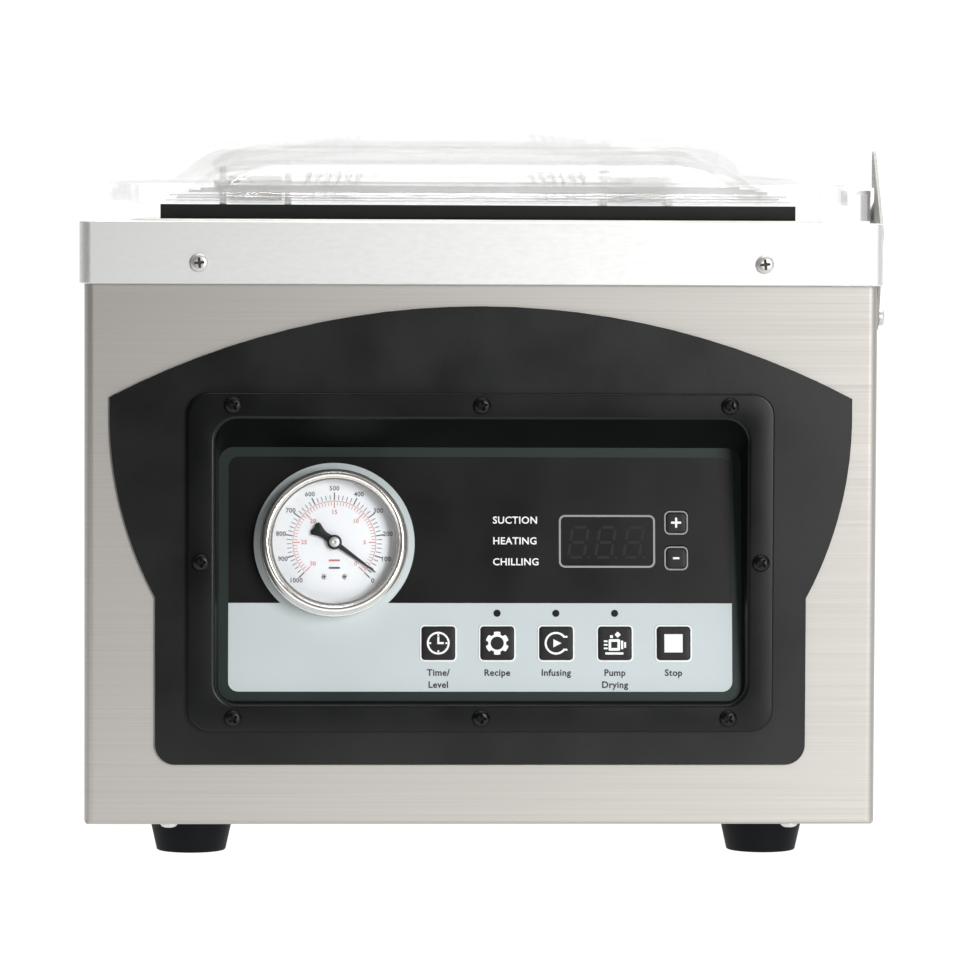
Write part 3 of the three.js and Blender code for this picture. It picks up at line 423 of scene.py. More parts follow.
def brushed(name, color, roughness, across=2600, along=7.0, depth=0.0006, clouds=0.10, hairs=0.10):
    """Brushed sheet: hairlines along x on level faces and along the wall on upright ones."""
    s = Surface(name, color, roughness, 1.0)
    upright = s.noise(1, (along, along, across), detail=3)
    level = s.noise(1, (along, across, along), detail=3)
    split = s.node("ShaderNodeSeparateXYZ")
    s.link(s.coordinates.outputs["Normal"], split.inputs["Vector"])
    facing = s.node("ShaderNodeMath", operation="ABSOLUTE")
    s.link(split.outputs["Z"], facing.inputs[0])
    step = s.node("ShaderNodeMath", operation="GREATER_THAN")
    step.inputs[1].default_value = 0.6
    s.link(facing.outputs["Value"], step.inputs[0])
    hair = s.node("ShaderNodeMix", data_type="FLOAT")
    s.link(step.outputs["Value"], hair.inputs["Factor"])
    s.link(upright, hair.inputs["A"])
    s.link(level, hair.inputs["B"])
    lines = hair.outputs["Result"]
    s.tint(s.spread(lines, 0.0, hairs), [c * 0.6 for c in color])
    s.tint(s.spread(s.noise(5, (1, 1, 1.6), detail=2), 0.0, clouds), [c * 0.6 for c in color])
    s.gloss(lines, roughness - 0.04, roughness + 0.05)
    s.relief(lines, depth)
    return s.material


def machined(name, color, roughness):
    """Turned or milled metal with fine tool marks."""
    s = Surface(name, color, roughness, 1.0)
    marks = s.noise(500, detail=5)
    s.tint(s.spread(marks, 0.0, 0.35), [c * 0.7 for c in color])
    s.gloss(s.noise(60, detail=4), roughness - 0.06, roughness + 0.12)
    s.relief(marks, 0.004)
    return s.material


def clear(name, color, roughness, ior=1.49, transmission=1.0, **sockets):
    """Clear sheet or glass with a trace of haze."""
    s = Surface(name, color, roughness, Transmission_Weight=transmission, IOR=ior, **sockets)
    s.gloss(s.noise(25, detail=3), roughness, roughness + 0.03)
    return s.material


DULL = {"Specular_IOR_Level": 0.25}
steel = brushed("brushed case steel", (0.510, 0.490, 0.462), 0.58)
tray_steel = brushed("satin tray steel", (0.80, 0.80, 0.79), 0.6, across=700, along=250, clouds=0.05,
                     hairs=0.06)
tub_steel = brushed("drawn chamber steel", (0.62, 0.62, 0.61), 0.26, across=900, along=30, depth=0.003)
fascia_black = moulded("fascia texture paint", (0.0045, 0.0047, 0.005), 0.36, grain=1500, depth=0.03,
                       Specular_IOR_Level=0.38)
frame_black = moulded("panel frame moulding", (0.0022, 0.0025, 0.0029), 0.36, grain=2500, depth=0.008,
                      Specular_IOR_Level=0.28)
overlay_black = moulded("overlay black print", (0.003, 0.003, 0.0032), 0.37, grain=3000, depth=0.004, **DULL)
border_green = moulded("overlay border print", (0.014, 0.024, 0.021), 0.45, grain=3000, depth=0.004, **DULL)
field_gray = printed("overlay light print", (0.535, 0.59, 0.60), depth=0.004, variation=0.03, **DULL)
key_black = moulded("key face", (0.012, 0.012, 0.0125), 0.45, grain=2500, depth=0.006, **DULL)
# White ink for labels and key signs, also used as a painted highlight on the main keys' rims.
white_print_and_highlight = printed("white print", (0.90, 0.91, 0.91), variation=0.02)
grey_print = printed("grey line print", (0.30, 0.31, 0.31), variation=0.02)
dark_print = printed("dark print", (0.035, 0.036, 0.038), **DULL)
dial_white = moulded("dial face", (0.93, 0.955, 0.985), 0.55, grain=2000, depth=0.003, variation=0.02)
dial_red = moulded("dial red print", (0.60, 0.22, 0.20), 0.5, grain=2000, depth=0.002)
dial_black = moulded("dial black print", (0.10, 0.105, 0.115), 0.5, grain=2000, depth=0.002)
needle_black = moulded("needle lacquer", (0.010, 0.011, 0.012), 0.4, grain=2000, depth=0.003)
chrome = moulded("polished chrome", (0.93, 0.90, 0.86), 0.16, grain=60, depth=0.002, variation=0.02,
                 Metallic=0.85)
bright_steel = machined("bright machined steel", (0.60, 0.59, 0.58), 0.28)
zinc = moulded("pale zinc plate", (0.62, 0.61, 0.59), 0.42, grain=700, depth=0.004, Metallic=0.7)
black_zinc = machined("black zinc", (0.030, 0.029, 0.028), 0.32)
# Dark plates on the floors of screw recesses: painted shade, black under black heads and brown under plated
# ones.
painted_shade_black = moulded("black painted recess shade", (0.005, 0.005, 0.005), 0.7, grain=2000, depth=0.002, **DULL)
painted_shade_brown = moulded("brown painted recess shade", (0.075, 0.068, 0.06), 0.7, grain=2000, depth=0.002, **DULL)
aluminium = brushed("extruded aluminium", (0.6, 0.6, 0.6), 0.34, across=1200, along=10)
keeper_steel = moulded("pale keeper plate", (0.97, 0.97, 0.965), 0.5, grain=700, depth=0.004)
latch_steel = brushed("satin latch plate", (0.42, 0.41, 0.39), 0.55, across=1500, along=12)
spring_wire = machined("spring wire", (0.35, 0.35, 0.36), 0.32)
brass = machined("machined brass", (0.55, 0.38, 0.13), 0.3)
iron = moulded("cast iron paint", (0.10, 0.11, 0.12), 0.55, grain=420, depth=0.12, Metallic=0.3)
enamel = moulded("machine enamel", (0.035, 0.075, 0.14), 0.35, grain=300, depth=0.03)
foot_rubber = moulded("foot rubber", (0.0025, 0.0034, 0.0048), 0.55, grain=1200, depth=0.02,
                      Specular_IOR_Level=0.12)
silicone_black = moulded("black silicone", (0.0075, 0.0075, 0.007), 0.55, grain=1600, depth=0.01, **DULL)
silicone_pale = moulded("pale silicone", (0.62, 0.62, 0.58), 0.45, grain=1600, depth=0.01,
                        Subsurface_Weight=0.3, Subsurface_Radius=(0.004, 0.004, 0.003))
hose_black = moulded("hose rubber", (0.018, 0.02, 0.022), 0.6, grain=700, depth=0.03)
board_white = moulded("white polyethylene", (0.80, 0.80, 0.77), 0.45, grain=500, depth=0.03, variation=0.03)
plastic_black = moulded("black plastic", (0.011, 0.011, 0.012), 0.42, grain=1800, depth=0.01)
rocker_black = moulded("gloss rocker", (0.012, 0.012, 0.012), 0.2, grain=1800, depth=0.003)
board_green = moulded("circuit board lacquer", (0.02, 0.12, 0.05), 0.3, grain=900, depth=0.01)
paper_yellow = moulded("winding tape", (0.45, 0.30, 0.08), 0.5, grain=900, depth=0.02)
tape_brown = moulded("woven coated tape", (0.24, 0.16, 0.09), 0.45, grain=1400, depth=0.05)
lid_clear = clear("clear acrylic", (1.0, 1.0, 1.0), 0.02, ior=1.2, transmission=0.9, Alpha=0.27)
# Grey film that paints the strip's banded reflection in the lid's sheet.
painted_reflection_film = moulded("painted reflection film", (0.60, 0.60, 0.59), 0.6, grain=900, depth=0.001, variation=0.02,
                    Alpha=0.5)
lens_clear = clear("gauge glass", (1.0, 1.0, 1.0), 0.0, ior=1.15, Alpha=0.2)
display_smoke = moulded("smoked window", (0.0035, 0.0035, 0.0036), 0.35, grain=300, depth=0.001, **DULL)
segment_grey = moulded("unlit segment", (0.0125, 0.0123, 0.0118), 0.5, grain=900, depth=0.001, **DULL)


# ------------------------------------------------------------------ the case

for node, material, bevel in (
        ("housing_shell", steel, 0.55), ("base_pan", steel, 0.4), ("rear_cover", steel, 0.35),
        ("top_tray", tray_steel, 0.5), ("fascia_plate", fascia_black, 0.25)):
    carry(node, material, bevel)


# Each pair: a screw head's metal, then the dark plate painted as shade in its recess.
BLACKENED = (black_zinc, painted_shade_black)
PLATED = (zinc, painted_shade_brown)


def screw(name, radius, height, metal_and_shade, slot, place, body=ROOT, replaces=()):
    """A pan head standing on z 0, with a cross recess. The two materials are the head's metal and a dark
    plate painted as shade on the recess's floor.
    """
    dome = [(0.0, 0.0), (radius, 0.0), (radius, height * 0.35), (radius * 0.82, height * 0.78),
            (radius * 0.5, height), (0.0, height)]
    head = lathe(fillet(dome, [0, 0, 0.25 * height, 0.5 * radius, 0.4 * radius, 0], 4), 40)
    reach, arm = radius * 0.58, radius * 0.16
    cross = []
    for turn in range(4):
        cross += turned([(reach, -arm * 0.8), (reach, arm * 0.8), (arm, arm)], 90 * turn)
    floor = height * 0.25
    piece(name, cut(head, plate([cross], floor, height + 1)), metal_and_shade[0], slot, body, place, replaces)
    # A dark plate on the recess's floor: painted shade in the cross recess.
    piece(f"{name}_recess", plate([cross], floor - 0.1, floor + 0.05), metal_and_shade[1], slot, body, place)


def cut(bm, *tools):
    """The mesh less the tools, by an exact boolean."""
    body, *cutters = [linked("solid", as_mesh("solid", part)) for part in (bm, *tools)]
    for cutter in cutters:
        modify(body, "cut", "BOOLEAN", operation="DIFFERENCE", solver="EXACT", object=cutter)
    result = evaluated(body)
    for obj in (body, *cutters):
        old = obj.data
        bpy.data.objects.remove(obj)
        bpy.data.meshes.remove(old)
    return tidy(result)


def facing(centre, direction, spin=0.0):
    """A matrix that stands a piece built on z 0 at a point, with its z along a direction."""
    turn = Vector((0, 0, 1)).rotation_difference(Vector(direction)).to_matrix().to_4x4()
    return Matrix.Translation(centre) @ turn @ Matrix.Rotation(radians(spin), 4, "Z")


BOTTOM_SCREW_X = 129.8


def add_screws():
    """The frame screws' slots stand at chance angles, the tray screws' almost upright."""
    frame_head, tray_head, bottom_head = (3.55, 2.0), (3.75, 1.6), (3.6, 1.9)
    seats = [(f"frame_screw_{n}", *frame_head, BLACKENED, "screw_black") for n in range(1, 9)]
    seats += [(f"tray_screw_{side}", *tray_head, PLATED, "screw_steel") for side in ("left", "right")]
    for node, radius, height, metal_and_shade, slot in seats:
        low, high = cad(node)
        centre = ((low.x + high.x) / 2, low.y + height, (low.z + high.z) / 2)
        turn = 6 if node.startswith("tray") else random.uniform(0, 90)
        place = facing(centre, (0, -1, 0), turn)
        screw(f"{node}_head", radius, height, metal_and_shade, slot, place, replaces=[node])
    for side, x in (("left", -BOTTOM_SCREW_X), ("right", BOTTOM_SCREW_X)):
        for end, y in (("front", FRONT_Y + 7), ("rear", -FRONT_Y - 30)):
            place = facing((x, y, cad("housing_shell")[0].z), (0, 0, -1), 20)
            screw(f"bottom_screw_{end}_{side}", *bottom_head, PLATED, "screw_steel", place)


add_screws()


def add_feet():
    for end in ("front", "rear"):
        for side in ("left", "right"):
            node = f"foot_{end}_{side}"
            low, high = cad(node)
            top = (high.x - low.x) / 2
            height = high.z - low.z
            outline = [(0, 0), (top - 3.7, 0), (top - 0.05, height), (0, height)]
            profile = fillet(outline, [0, 0.8, 0.4, 0], 5)
            place = Matrix.Translation(((low.x + high.x) / 2, (low.y + high.y) / 2, low.z))
            piece(f"{node}_rubber", lathe(profile, 72), foot_rubber, "foot_rubber",
                  place=place, replaces=[node])


add_feet()


# ------------------------------------------------------------------ the panel frame

MOUTH = {"half": 110.3, "low": 65.7, "high": 183.9, "corner": 9}
LIP = 1.9
SILL_EDGE = (109.3, 66.6, 171.8, 6.5)  # half width, low, high and corner, where the sleeve meets the panel
SILL_BACK = (111.1, 64.8, 173.4, 8)
SILL_CLEARANCE = 0.35


def frame_loop(half, low, high, corner, out, steps=14):
    """A rounded rectangle on the front; out is a number or a function of height."""
    depth = out if callable(out) else (lambda height: out)
    outline = rectangle(-half, low, half, high, corner, steps)
    return [FRONT @ Vector((x, z, depth(z))) for x, z in outline]


def add_panel_frame():
    low, high = cad("panel_frame")
    half, bottom, top = high.x, low.z, high.z
    face = FRONT_Y - low.y
    back = face - 3.0

    def panel_face(height):
        """How far the panel's face stands out of the case's front at a height."""
        along = up(height)
        return FRONT_Y - (PANEL @ Vector((0, along, 0))).y

    flange = []
    for inset, out in fillet([(0, back), (0, face), (12, face)], [0, 0.9, 0], 5):
        flange.append(frame_loop(half - inset, bottom + inset, top - inset, 9 - inset * 0.5, out))
    del flange[-1]
    lip = []
    m = MOUTH
    for i in range(7):
        t = radians(90 * i / 6)
        grow, drop = LIP * (1 - sin(t)), LIP * (1 - cos(t))
        lip.append(frame_loop(m["half"] + grow, m["low"] - grow, m["high"] + grow, m["corner"] + grow,
                              face - drop))
    sill_edge = frame_loop(*SILL_EDGE, lambda z: panel_face(z) + SILL_CLEARANCE)
    sill_back = frame_loop(*SILL_BACK, lambda z: panel_face(z) + SILL_CLEARANCE)
    sleeve_root = frame_loop(m["half"] + LIP, m["low"] - LIP, m["high"] + LIP, m["corner"] + LIP, back)
    piece("panel_frame_moulding", skin([*flange, *lip, sill_edge, sill_back, sleeve_root], closed=True),
          frame_black, "panel_moulding", replaces=["panel_frame"], sharp=50)


add_panel_frame()


# ------------------------------------------------------------------ the printed panel

def on_panel(name, outlines, material, slot, out, thickness):
    """Outlines in x and distance up the panel, laid on the panel's face."""
    piece(name, plate(outlines, out, out + thickness), material, slot, place=PANEL)


def ring(outer, inner):
    return [outer, inner[::-1]]


PANEL_EDGE = {"half": 109.3, "low": up(66.5), "high": up(172.2), "corner": 6.5}
FIELD = {"half": 105.2, "low": up(70.45), "high": up(107.1), "corner": 4.2}
BORDER_TOP = 4.5
GAUGE_FIELD = 33.6  # radius of the light field round the gauge
GAUGE_HOLE = 29.2
PRINT = 0.05


def add_overlay():
    """The black overlay with its dark border, and the light field that runs up round the gauge."""
    carry("control_panel", overlay_black, 0.15)
    p, f = PANEL_EDGE, FIELD
    outer = rectangle(-p["half"], p["low"], p["half"], p["high"], p["corner"], 10)
    inner = rectangle(-f["half"], f["low"], f["half"], p["high"] - BORDER_TOP, f["corner"], 10)
    on_panel("panel_border", ring(outer, inner), border_green, "panel_print", 0.01, PRINT)
    start = degrees(asin(f["high"] / GAUGE_FIELD))
    field = [(f["half"], f["high"])]
    field += arc(GAUGE_X, 0, GAUGE_FIELD, start, 180 - start, 60)
    field += [(-f["half"], f["high"])]
    lower = rectangle(-f["half"], f["low"], f["half"], 0, f["corner"], 10)
    field += lower[-11:] + lower[:11]
    hole = circle(GAUGE_X, 0, GAUGE_HOLE, 72)
    on_panel("panel_field", [field, hole[::-1]], field_gray, "panel_print", 0.03, PRINT)


add_overlay()


# ------------------------------------------------------------------ the gauge

SCALE_START = -45.0  # the direction of zero, in degrees from +x
SCALE_SWEEP = 270.0
WINDOW = 25.8
DIAL_FACE = 4.3
NEEDLE_REST = -36.0


def ticks(count, every, long, short, width, fine):
    """Radial marks over the whole sweep. long and short are (from, to) radii."""
    marks = []
    for i in range(count + 1):
        major = i % every == 0
        r0, r1 = long if major else short
        half = (width if major else fine) / 2
        mark = [(r0, -half), (r1, -half), (r1, half), (r0, half)]
        marks.append(turned(mark, SCALE_START + SCALE_SWEEP * i / count))
    return marks


def scale_numbers(values, radius, height, z):
    parts = []
    for i, value in enumerate(values):
        angle = radians(SCALE_START + SCALE_SWEEP * i / (len(values) - 1))
        at = (radius * cos(angle), radius * sin(angle))
        parts.append(lettering(str(value), height, z, z + 0.06, *at, weight=0.05))
    return joined(*parts)


def on_dial(name, bm, material, **kwargs):
    piece(name, bm, material, "dial_face", place=GAUGE, **kwargs)


def add_gauge():
    """The bezel, glass, dial with its two scales, and the needle on its boss."""
    rim, window = 30.9, WINDOW
    back = [(28.6, 10.75), (28.6, 0.5), (rim, 0.5), (rim, 3.4), (rim - 1.1, 3.9), (rim - 1.1, 5.0)]
    back = fillet(back, [0.1, 0.3, 0.6, 0.7, 0.3, 0], 5)
    roll_middle, roll_deep, roll_half = (rim - 0.3 + window) / 2, 5.6, (rim - 0.3 - window) / 2
    roll = [(roll_middle + roll_half * cos(t), roll_deep + 6.6 * sin(t) ** 0.8)
            for t in (radians(a) for a in range(2, 142, 4))]
    lip = [(window, 10.75)]
    piece("gauge_bezel_ring", lathe([*back, *roll, *lip], 160), chrome, "gauge_chrome",
          place=GAUGE, replaces=["gauge_bezel"], sharp=50)
    glass = fillet([(0, 8.95), (27.8, 8.95), (27.8, 10.3), (0, 10.3)], [0, 0.2, 0.2, 0], 3)
    piece("gauge_glass", lathe(glass, 96), lens_clear, "lens_clear", place=GAUGE, replaces=["gauge_lens"])
    carry("gauge_case", machined("plated gauge case", (0.5, 0.5, 0.49), 0.35), 0.3)

    dish = [(0, DIAL_FACE - 0.9), (27.0, DIAL_FACE - 0.9), (27.0, DIAL_FACE), (0, DIAL_FACE)]
    dish = lathe(fillet(dish, [0, 0.2, 0.2, 0], 3), 96)
    on_dial("gauge_dial_plate", dish, dial_white, replaces=["gauge_dial"])
    z = DIAL_FACE + 0.01
    black = plate(ticks(50, 5, (17.6, 20.8), (17.8, 19.8), 0.5, 0.3), z, z + PRINT)
    on_dial("dial_black_scale", black, dial_black)
    red = plate(ticks(60, 10, (14.3, 17.0), (15.5, 17.0), 0.42, 0.26), z, z + PRINT)
    on_dial("dial_red_scale", red, dial_red)
    on_dial("dial_black_numbers", scale_numbers(range(0, 1001, 100), 22.5, 1.9, z), dial_black)
    on_dial("dial_red_numbers", scale_numbers(range(0, 31, 5), 12.6, 1.75, z), dial_red)
    band = arc(0, 0, 17.4, SCALE_START, SCALE_START + SCALE_SWEEP, 90)
    band += arc(0, 0, 17.15, SCALE_START + SCALE_SWEEP, SCALE_START, 90)
    on_dial("dial_red_line", plate([band], z, z + PRINT), dial_red)
    for name, y, material in (("red", -7.9, dial_red), ("black", -11.0, dial_black)):
        mark = plate([rectangle(-2.4, y, 2.4, y + 0.8, 0.4)], z, z + PRINT)
        on_dial(f"dial_{name}_unit_mark", mark, material)
    for side, x in (("left", -4.1), ("right", 4.5)):
        screw(f"dial_screw_{side}", 1.25, 0.6, PLATED, "screw_steel",
              GAUGE @ Matrix.Translation((x, -14.3, DIAL_FACE)))
    boss = fillet([(0, 5.98), (3.1, 5.98), (3.1, 6.5), (0, 6.5)], [0, 0, 0.25, 0], 4)
    piece("needle_boss", lathe(boss, 40), needle_black, "needle_black", "needle", place=GAUGE)
    cap = [(0, 6.52), (2.1, 6.52), (2.1, 7.3), (0.75, 7.5), (0.7, 7.1), (0, 7.1)]
    piece("needle_hub", lathe(fillet(cap, [0, 0, 0.35, 0.15, 0.1, 0], 4), 40), zinc,
          "needle_black", "needle", place=GAUGE)
    half_blade = [(21.2, 0.22), (2.4, 1.05), (-1.8, 1.9), (-4.9, 1.45), (-6.8, 1.9), (-9.5, 3.0),
                  (-10.3, 2.8), (-10.9, 1.7), (-10.3, 0.0)]
    outline = [*half_blade, *((x, -y) for x, y in half_blade[-2::-1])]
    radii = [0.2, 2, 2, 2, 3, 0.7, 0.4, 0.7, 2]
    outline = fillet(outline, radii + radii[-2::-1], closed=True)
    blade = plate([turned(outline, NEEDLE_REST)], 5.45, 5.95, 0.08)
    piece("needle_blade", blade, needle_black, "needle_black", "needle", place=GAUGE,
          replaces=["gauge_needle"])


add_gauge()


# ------------------------------------------------------------------ display, labels and keys

DISPLAY = {"x": 52.96, "y": up(132.8), "w": 40.3, "h": 22.1, "corner": 2.6, "line": 0.8}
SEGMENTS = {"a": (0, 1, 0), "g": (0, 0, 0), "d": (0, -1, 0), "b": (1, 0.5, 90), "c": (1, -0.5, 90),
            "f": (-1, 0.5, 90), "e": (-1, -0.5, 90)}


def segment_digit(cx, cy, width, height, slant=9.0):
    """Seven unlit bars and a point, leaning to the right."""
    bars = []
    half_w, half_h, wide = width / 2, height / 2, 1.15
    for x, y, turn in SEGMENTS.values():
        length = (width if turn == 0 else half_h) - 1.3
        bar = [(-length / 2, 0), (-length / 2 + wide / 2, -wide / 2), (length / 2 - wide / 2, -wide / 2),
               (length / 2, 0), (length / 2 - wide / 2, wide / 2), (-length / 2 + wide / 2, wide / 2)]
        px, py = x * half_w, y * half_h
        shape = turned(bar, turn, px, py)
        lean = tan(radians(slant))
        bars.append([(cx + u + v * lean, cy + v) for u, v in shape])
    bars.append(circle(cx + half_w + 1.0, cy - half_h, 0.55, 16))
    return bars


def add_display():
    d = DISPLAY
    x0, y0, x1, y1 = d["x"] - d["w"] / 2, d["y"] - d["h"] / 2, d["x"] + d["w"] / 2, d["y"] + d["h"] / 2
    line = d["line"]
    inner = rectangle(x0 + line, y0 + line, x1 - line, y1 - line, d["corner"] - line, 8)
    on_panel("display_outline", ring(rectangle(x0, y0, x1, y1, d["corner"], 8), inner), grey_print,
             "panel_print", 0.03, PRINT)
    on_panel("display_window", [inner], display_smoke, "panel_overlay", 0.02, 0.04)
    bars = []
    for offset in (-12.0, -0.6, 11.2):
        bars += segment_digit(d["x"] + offset, d["y"] - 0.4, 6.6, 12.6)
    on_panel("display_segments", bars, segment_grey, "panel_overlay", 0.065, 0.02)


def add_labels():
    """Plain function words beside the display and under the keys."""
    words = (("SUCTION", 141.4), ("HEATING", 132.8), ("CHILLING", 124.1))
    for word, height in words:
        text = lettering(word, 3.0, 0.03, 0.03 + PRINT, 5.1, up(height), "LEFT", 0.07)
        piece(f"label_{word.lower()}", text, white_print_and_highlight, "panel_print", place=PANEL)
    captions = {"time": ("Time/", "Level"), "preset": ("Recipe",), "marinate": ("Infusing",),
                "pump_cleaning": ("Pump", "Drying"), "stop": ("Stop",)}
    for key, lines in captions.items():
        for line, word in enumerate(lines):
            at = (middle(f"key_{key}").x, up(78.2 - 5.0 * line))
            text = lettering(word, 2.75, 0.1, 0.1 + PRINT, *at, weight=0.09)
            piece(f"caption_{key}_{line + 1}", text, dark_print, "panel_print", place=PANEL)


def clock_icon():
    shapes = ring(circle(0, 0, 4.75), circle(0, 0, 3.95))
    for turn in range(4):
        shapes.append(turned([(3.0, -0.35), (3.8, -0.35), (3.8, 0.35), (3.0, 0.35)], 90 * turn))
    shapes.append([(-0.4, -0.4), (2.3, -0.4), (2.3, 0.45), (0.45, 0.45), (0.45, 2.7), (-0.4, 2.7)])
    return shapes


def gear_icon():
    outline = []
    teeth = 6
    for tooth in range(teeth):
        middle_turn = 90 + 360 * tooth / teeth
        outline += arc(0, 0, 3.75, middle_turn - 42, middle_turn - 21, 2)
        outline += arc(0, 0, 4.85, middle_turn - 16, middle_turn + 16, 3)
        outline += arc(0, 0, 3.75, middle_turn + 21, middle_turn + 30, 1)
    return ring(outline, circle(0, 0, 2.75))


def cycle_icon():
    """An open ring with prongs, round a small triangle."""
    bow = arc(0, 0, 4.75, 40, 320, 30)
    prong = [(4.6, 3.15), (4.9, 2.75), (4.6, 2.3), (2.9, 2.3)]
    bow += [(x, -y) for x, y in prong]
    bow += arc(0, 0, 3.9, 320, 40, 30)
    bow += prong[::-1]
    return [bow, [(-1.1, -1.7), (2.3, 0.0), (-1.1, 1.7)]]


def pump_icon():
    """A pump's block with a fin, a flange and a base line, and a drop going in above it."""
    block = ring(rectangle(-2.6, -3.1, 2.2, 1.7, 0.5), rectangle(-1.5, -2.0, 1.1, 0.6))
    fins = [rectangle(-4.6, y, -3.0, y + 0.7, 0.2) for y in (-2.5, -1.0, 0.5)]
    flange = [rectangle(2.6, -2.5, 3.5, 1.1, 0.2), rectangle(3.9, -1.9, 4.7, 0.5, 0.2)]
    base, stub = rectangle(-4.0, -4.7, 3.6, -3.8, 0.2), rectangle(-2.0, 2.2, -0.8, 3.4, 0.2)
    return [*block, *fins, *flange, base, stub, turned(square(0, 0, 1.9, 0.3), 45, 1.2, 3.6)]


def stop_icon():
    return [square(0, 0, 7.6)]


KEY_ICONS = {"time": clock_icon, "preset": gear_icon, "marinate": cycle_icon, "pump_cleaning": pump_icon,
             "stop": stop_icon}
KEY_TOP = 0.9
KEY_SIZE = 13.9
STEP_SIZE = 8.5


def key_cap(cx, cy, size, corner):
    """A low cap with rounded shoulders, standing on the panel."""
    loops = []
    for inset, z in fillet([(0, -2.4), (0, KEY_TOP - 0.05), (2.2, KEY_TOP)], [0, 0.55, 0], 5):
        outline = square(cx, cy, size - 2 * inset, max(0.5, corner - inset * 0.4), 6)
        loops.append([(x, y, z) for x, y in outline])
    return skin(loops)


def add_rim(name, at, size, corner, section, material):
    """A raised line round a key; the section's corners are (distance outside the cap, height)."""
    loops = []
    for grow, z in fillet(section, 0.1, 3, closed=True):
        loops.append([(x, y, z) for x, y in square(at.x, at.y, size + 2 * grow, corner + grow, 6)])
    piece(f"{name}_rim", skin(loops, closed=True), material, "panel_print", place=PANEL)


def add_key(name, size, corner, shapes):
    """A key's cap and the white print on it. Both go down with the key."""
    at = PANEL.inverted() @ middle(f"key_{name}")
    body = f"{name}_key"
    piece(f"key_{name}_cap", key_cap(at.x, at.y, size, corner), key_black, "key_cap", body, place=PANEL,
          replaces=[f"key_{name}"])
    print_on = plate(shapes, KEY_TOP - 0.02, KEY_TOP + 0.03)
    piece(f"key_{name}_print", print_on, white_print_and_highlight, "panel_print", body,
          place=PANEL @ Matrix.Translation((at.x, at.y, 0)))
    return at


def add_keys():
    dots = []
    for name, icon in KEY_ICONS.items():
        at = add_key(name, KEY_SIZE, 1.3, icon())
        section = [(0.15, 0.05), (0.15, 0.5), (0.65, 0.5), (0.8, 0.05)]
        # The main keys' rims are white: a painted highlight of the embossed edge round each key.
        add_rim(f"key_{name}", at, KEY_SIZE, 1.3, section, white_print_and_highlight)
        if name in ("preset", "marinate", "pump_cleaning"):
            dots.append(circle(at.x, up(102.9), 1.5, 24))
    on_panel("key_lights", dots, overlay_black, "panel_overlay", 0.09, 0.1)
    bar = rectangle(-1.35, -0.42, 1.35, 0.42)
    plus = []
    for turn in range(4):
        plus += turned([(2.1, -0.45), (2.1, 0.45), (0.45, 0.45)], 90 * turn)
    for name, sign in (("plus", plus), ("minus", bar)):
        at = add_key(name, STEP_SIZE, 1.6, [sign])
        section = [(0.1, 0.05), (0.1, 0.5), (0.7, 0.5), (0.8, 0.05)]
        add_rim(f"key_{name}", at, STEP_SIZE, 1.6, section, grey_print)


add_display()
add_labels()
add_keys()


# ------------------------------------------------------------------ the lid

def level_loop(a, b, r, z, cy=0.0, steps=14):
    """A level rounded rectangle of half sizes a and b, as 3-D points."""
    return [(x, y, z) for x, y in rectangle(-a, cy - b, a, cy + b, min(r, a, b), steps)]


LID_LOW, LID_HIGH = cad("lid_dome")
RIM_TOP = 283.0
DOME = {"y": 5.5, "a": 146.0, "b": 182.5, "r": 26.0, "slope": 37.0, "shoulder": 300.0, "wall": 7.5}


def add_lid():
    """The clear sheet: a flat rim, a slope up to a shoulder and a low crown, with an even wall."""
    cy, half_x, half_y = (LID_LOW.y + LID_HIGH.y) / 2, LID_HIGH.x, (LID_HIGH.y - LID_LOW.y) / 2
    crest = LID_HIGH.z - 0.2

    def face(drop):
        d = DOME
        foot = LID_LOW.z if drop else RIM_TOP
        rise = d["shoulder"] - drop - foot
        loops = []
        for i in range(21):
            t = i / 20
            inset = d["slope"] * t + drop
            z = foot + rise * t * t * (3 - 2 * t)
            loops.append(level_loop(d["a"] - inset, d["b"] - inset, d["r"] - drop / 2, z, cy=d["y"]))
        a, b, r = d["a"] - d["slope"] - drop, d["b"] - d["slope"] - drop, d["r"] - drop / 2
        for i in range(1, 17):
            share = 1 - i / 16.5
            z = d["shoulder"] - drop + (crest - d["shoulder"]) * (1 - share ** 2)
            loops.append(level_loop(a * share, b * share, r * share, z, cy=d["y"]))
        return loops

    rim = []
    low, high = LID_LOW.z, RIM_TOP
    edge = fillet([(14, low), (0, low), (0, high), (9, high)], [0, 1.2, 1.6, 0], 5)
    for inset, z in edge[1:-1]:
        rim.append(level_loop(half_x - inset, half_y - inset, 20 - inset, z, cy=cy))
    loops = [*face(DOME["wall"])[::-1], *rim, *face(0)]
    piece("lid_clear_dome", skin(loops), lid_clear, "lid_acrylic", "lid", replaces=["lid_dome"], sharp=30)


def add_gasket():
    low, high = cad("chamber_gasket")
    cy, half_x, half_y = (low.y + high.y) / 2, high.x, (high.y - low.y) / 2
    width, crown, corner = 6.4, 1.8, 27.0
    section = [(0, low.z), (0, high.z - 0.6), (crown, high.z), (width - crown, high.z),
               (width, high.z - 0.6), (width, low.z)]
    loops = []
    for inset, z in fillet(section, [0, 0.8, 0.8, 0.8, 0.8, 0], closed=True):
        loops.append(level_loop(half_x - inset, half_y - inset, corner - inset, z, cy=cy))
    piece("gasket_ring", skin(loops, closed=True), silicone_pale, "pale_silicone",
          replaces=["chamber_gasket"])


# Grey films in the lid's sheet above the strip, a painted reflection of the strip's bands: (bottom, top, how
# far each end stops short).
PAINTED_REFLECTION_FILMS = ((0.9, 1.3, 2), (2.0, 2.7, 7), (3.1, 3.6, 4), (4.4, 5.4, 12), (5.4, 6.4, 17), (6.4, 7.4, 24))


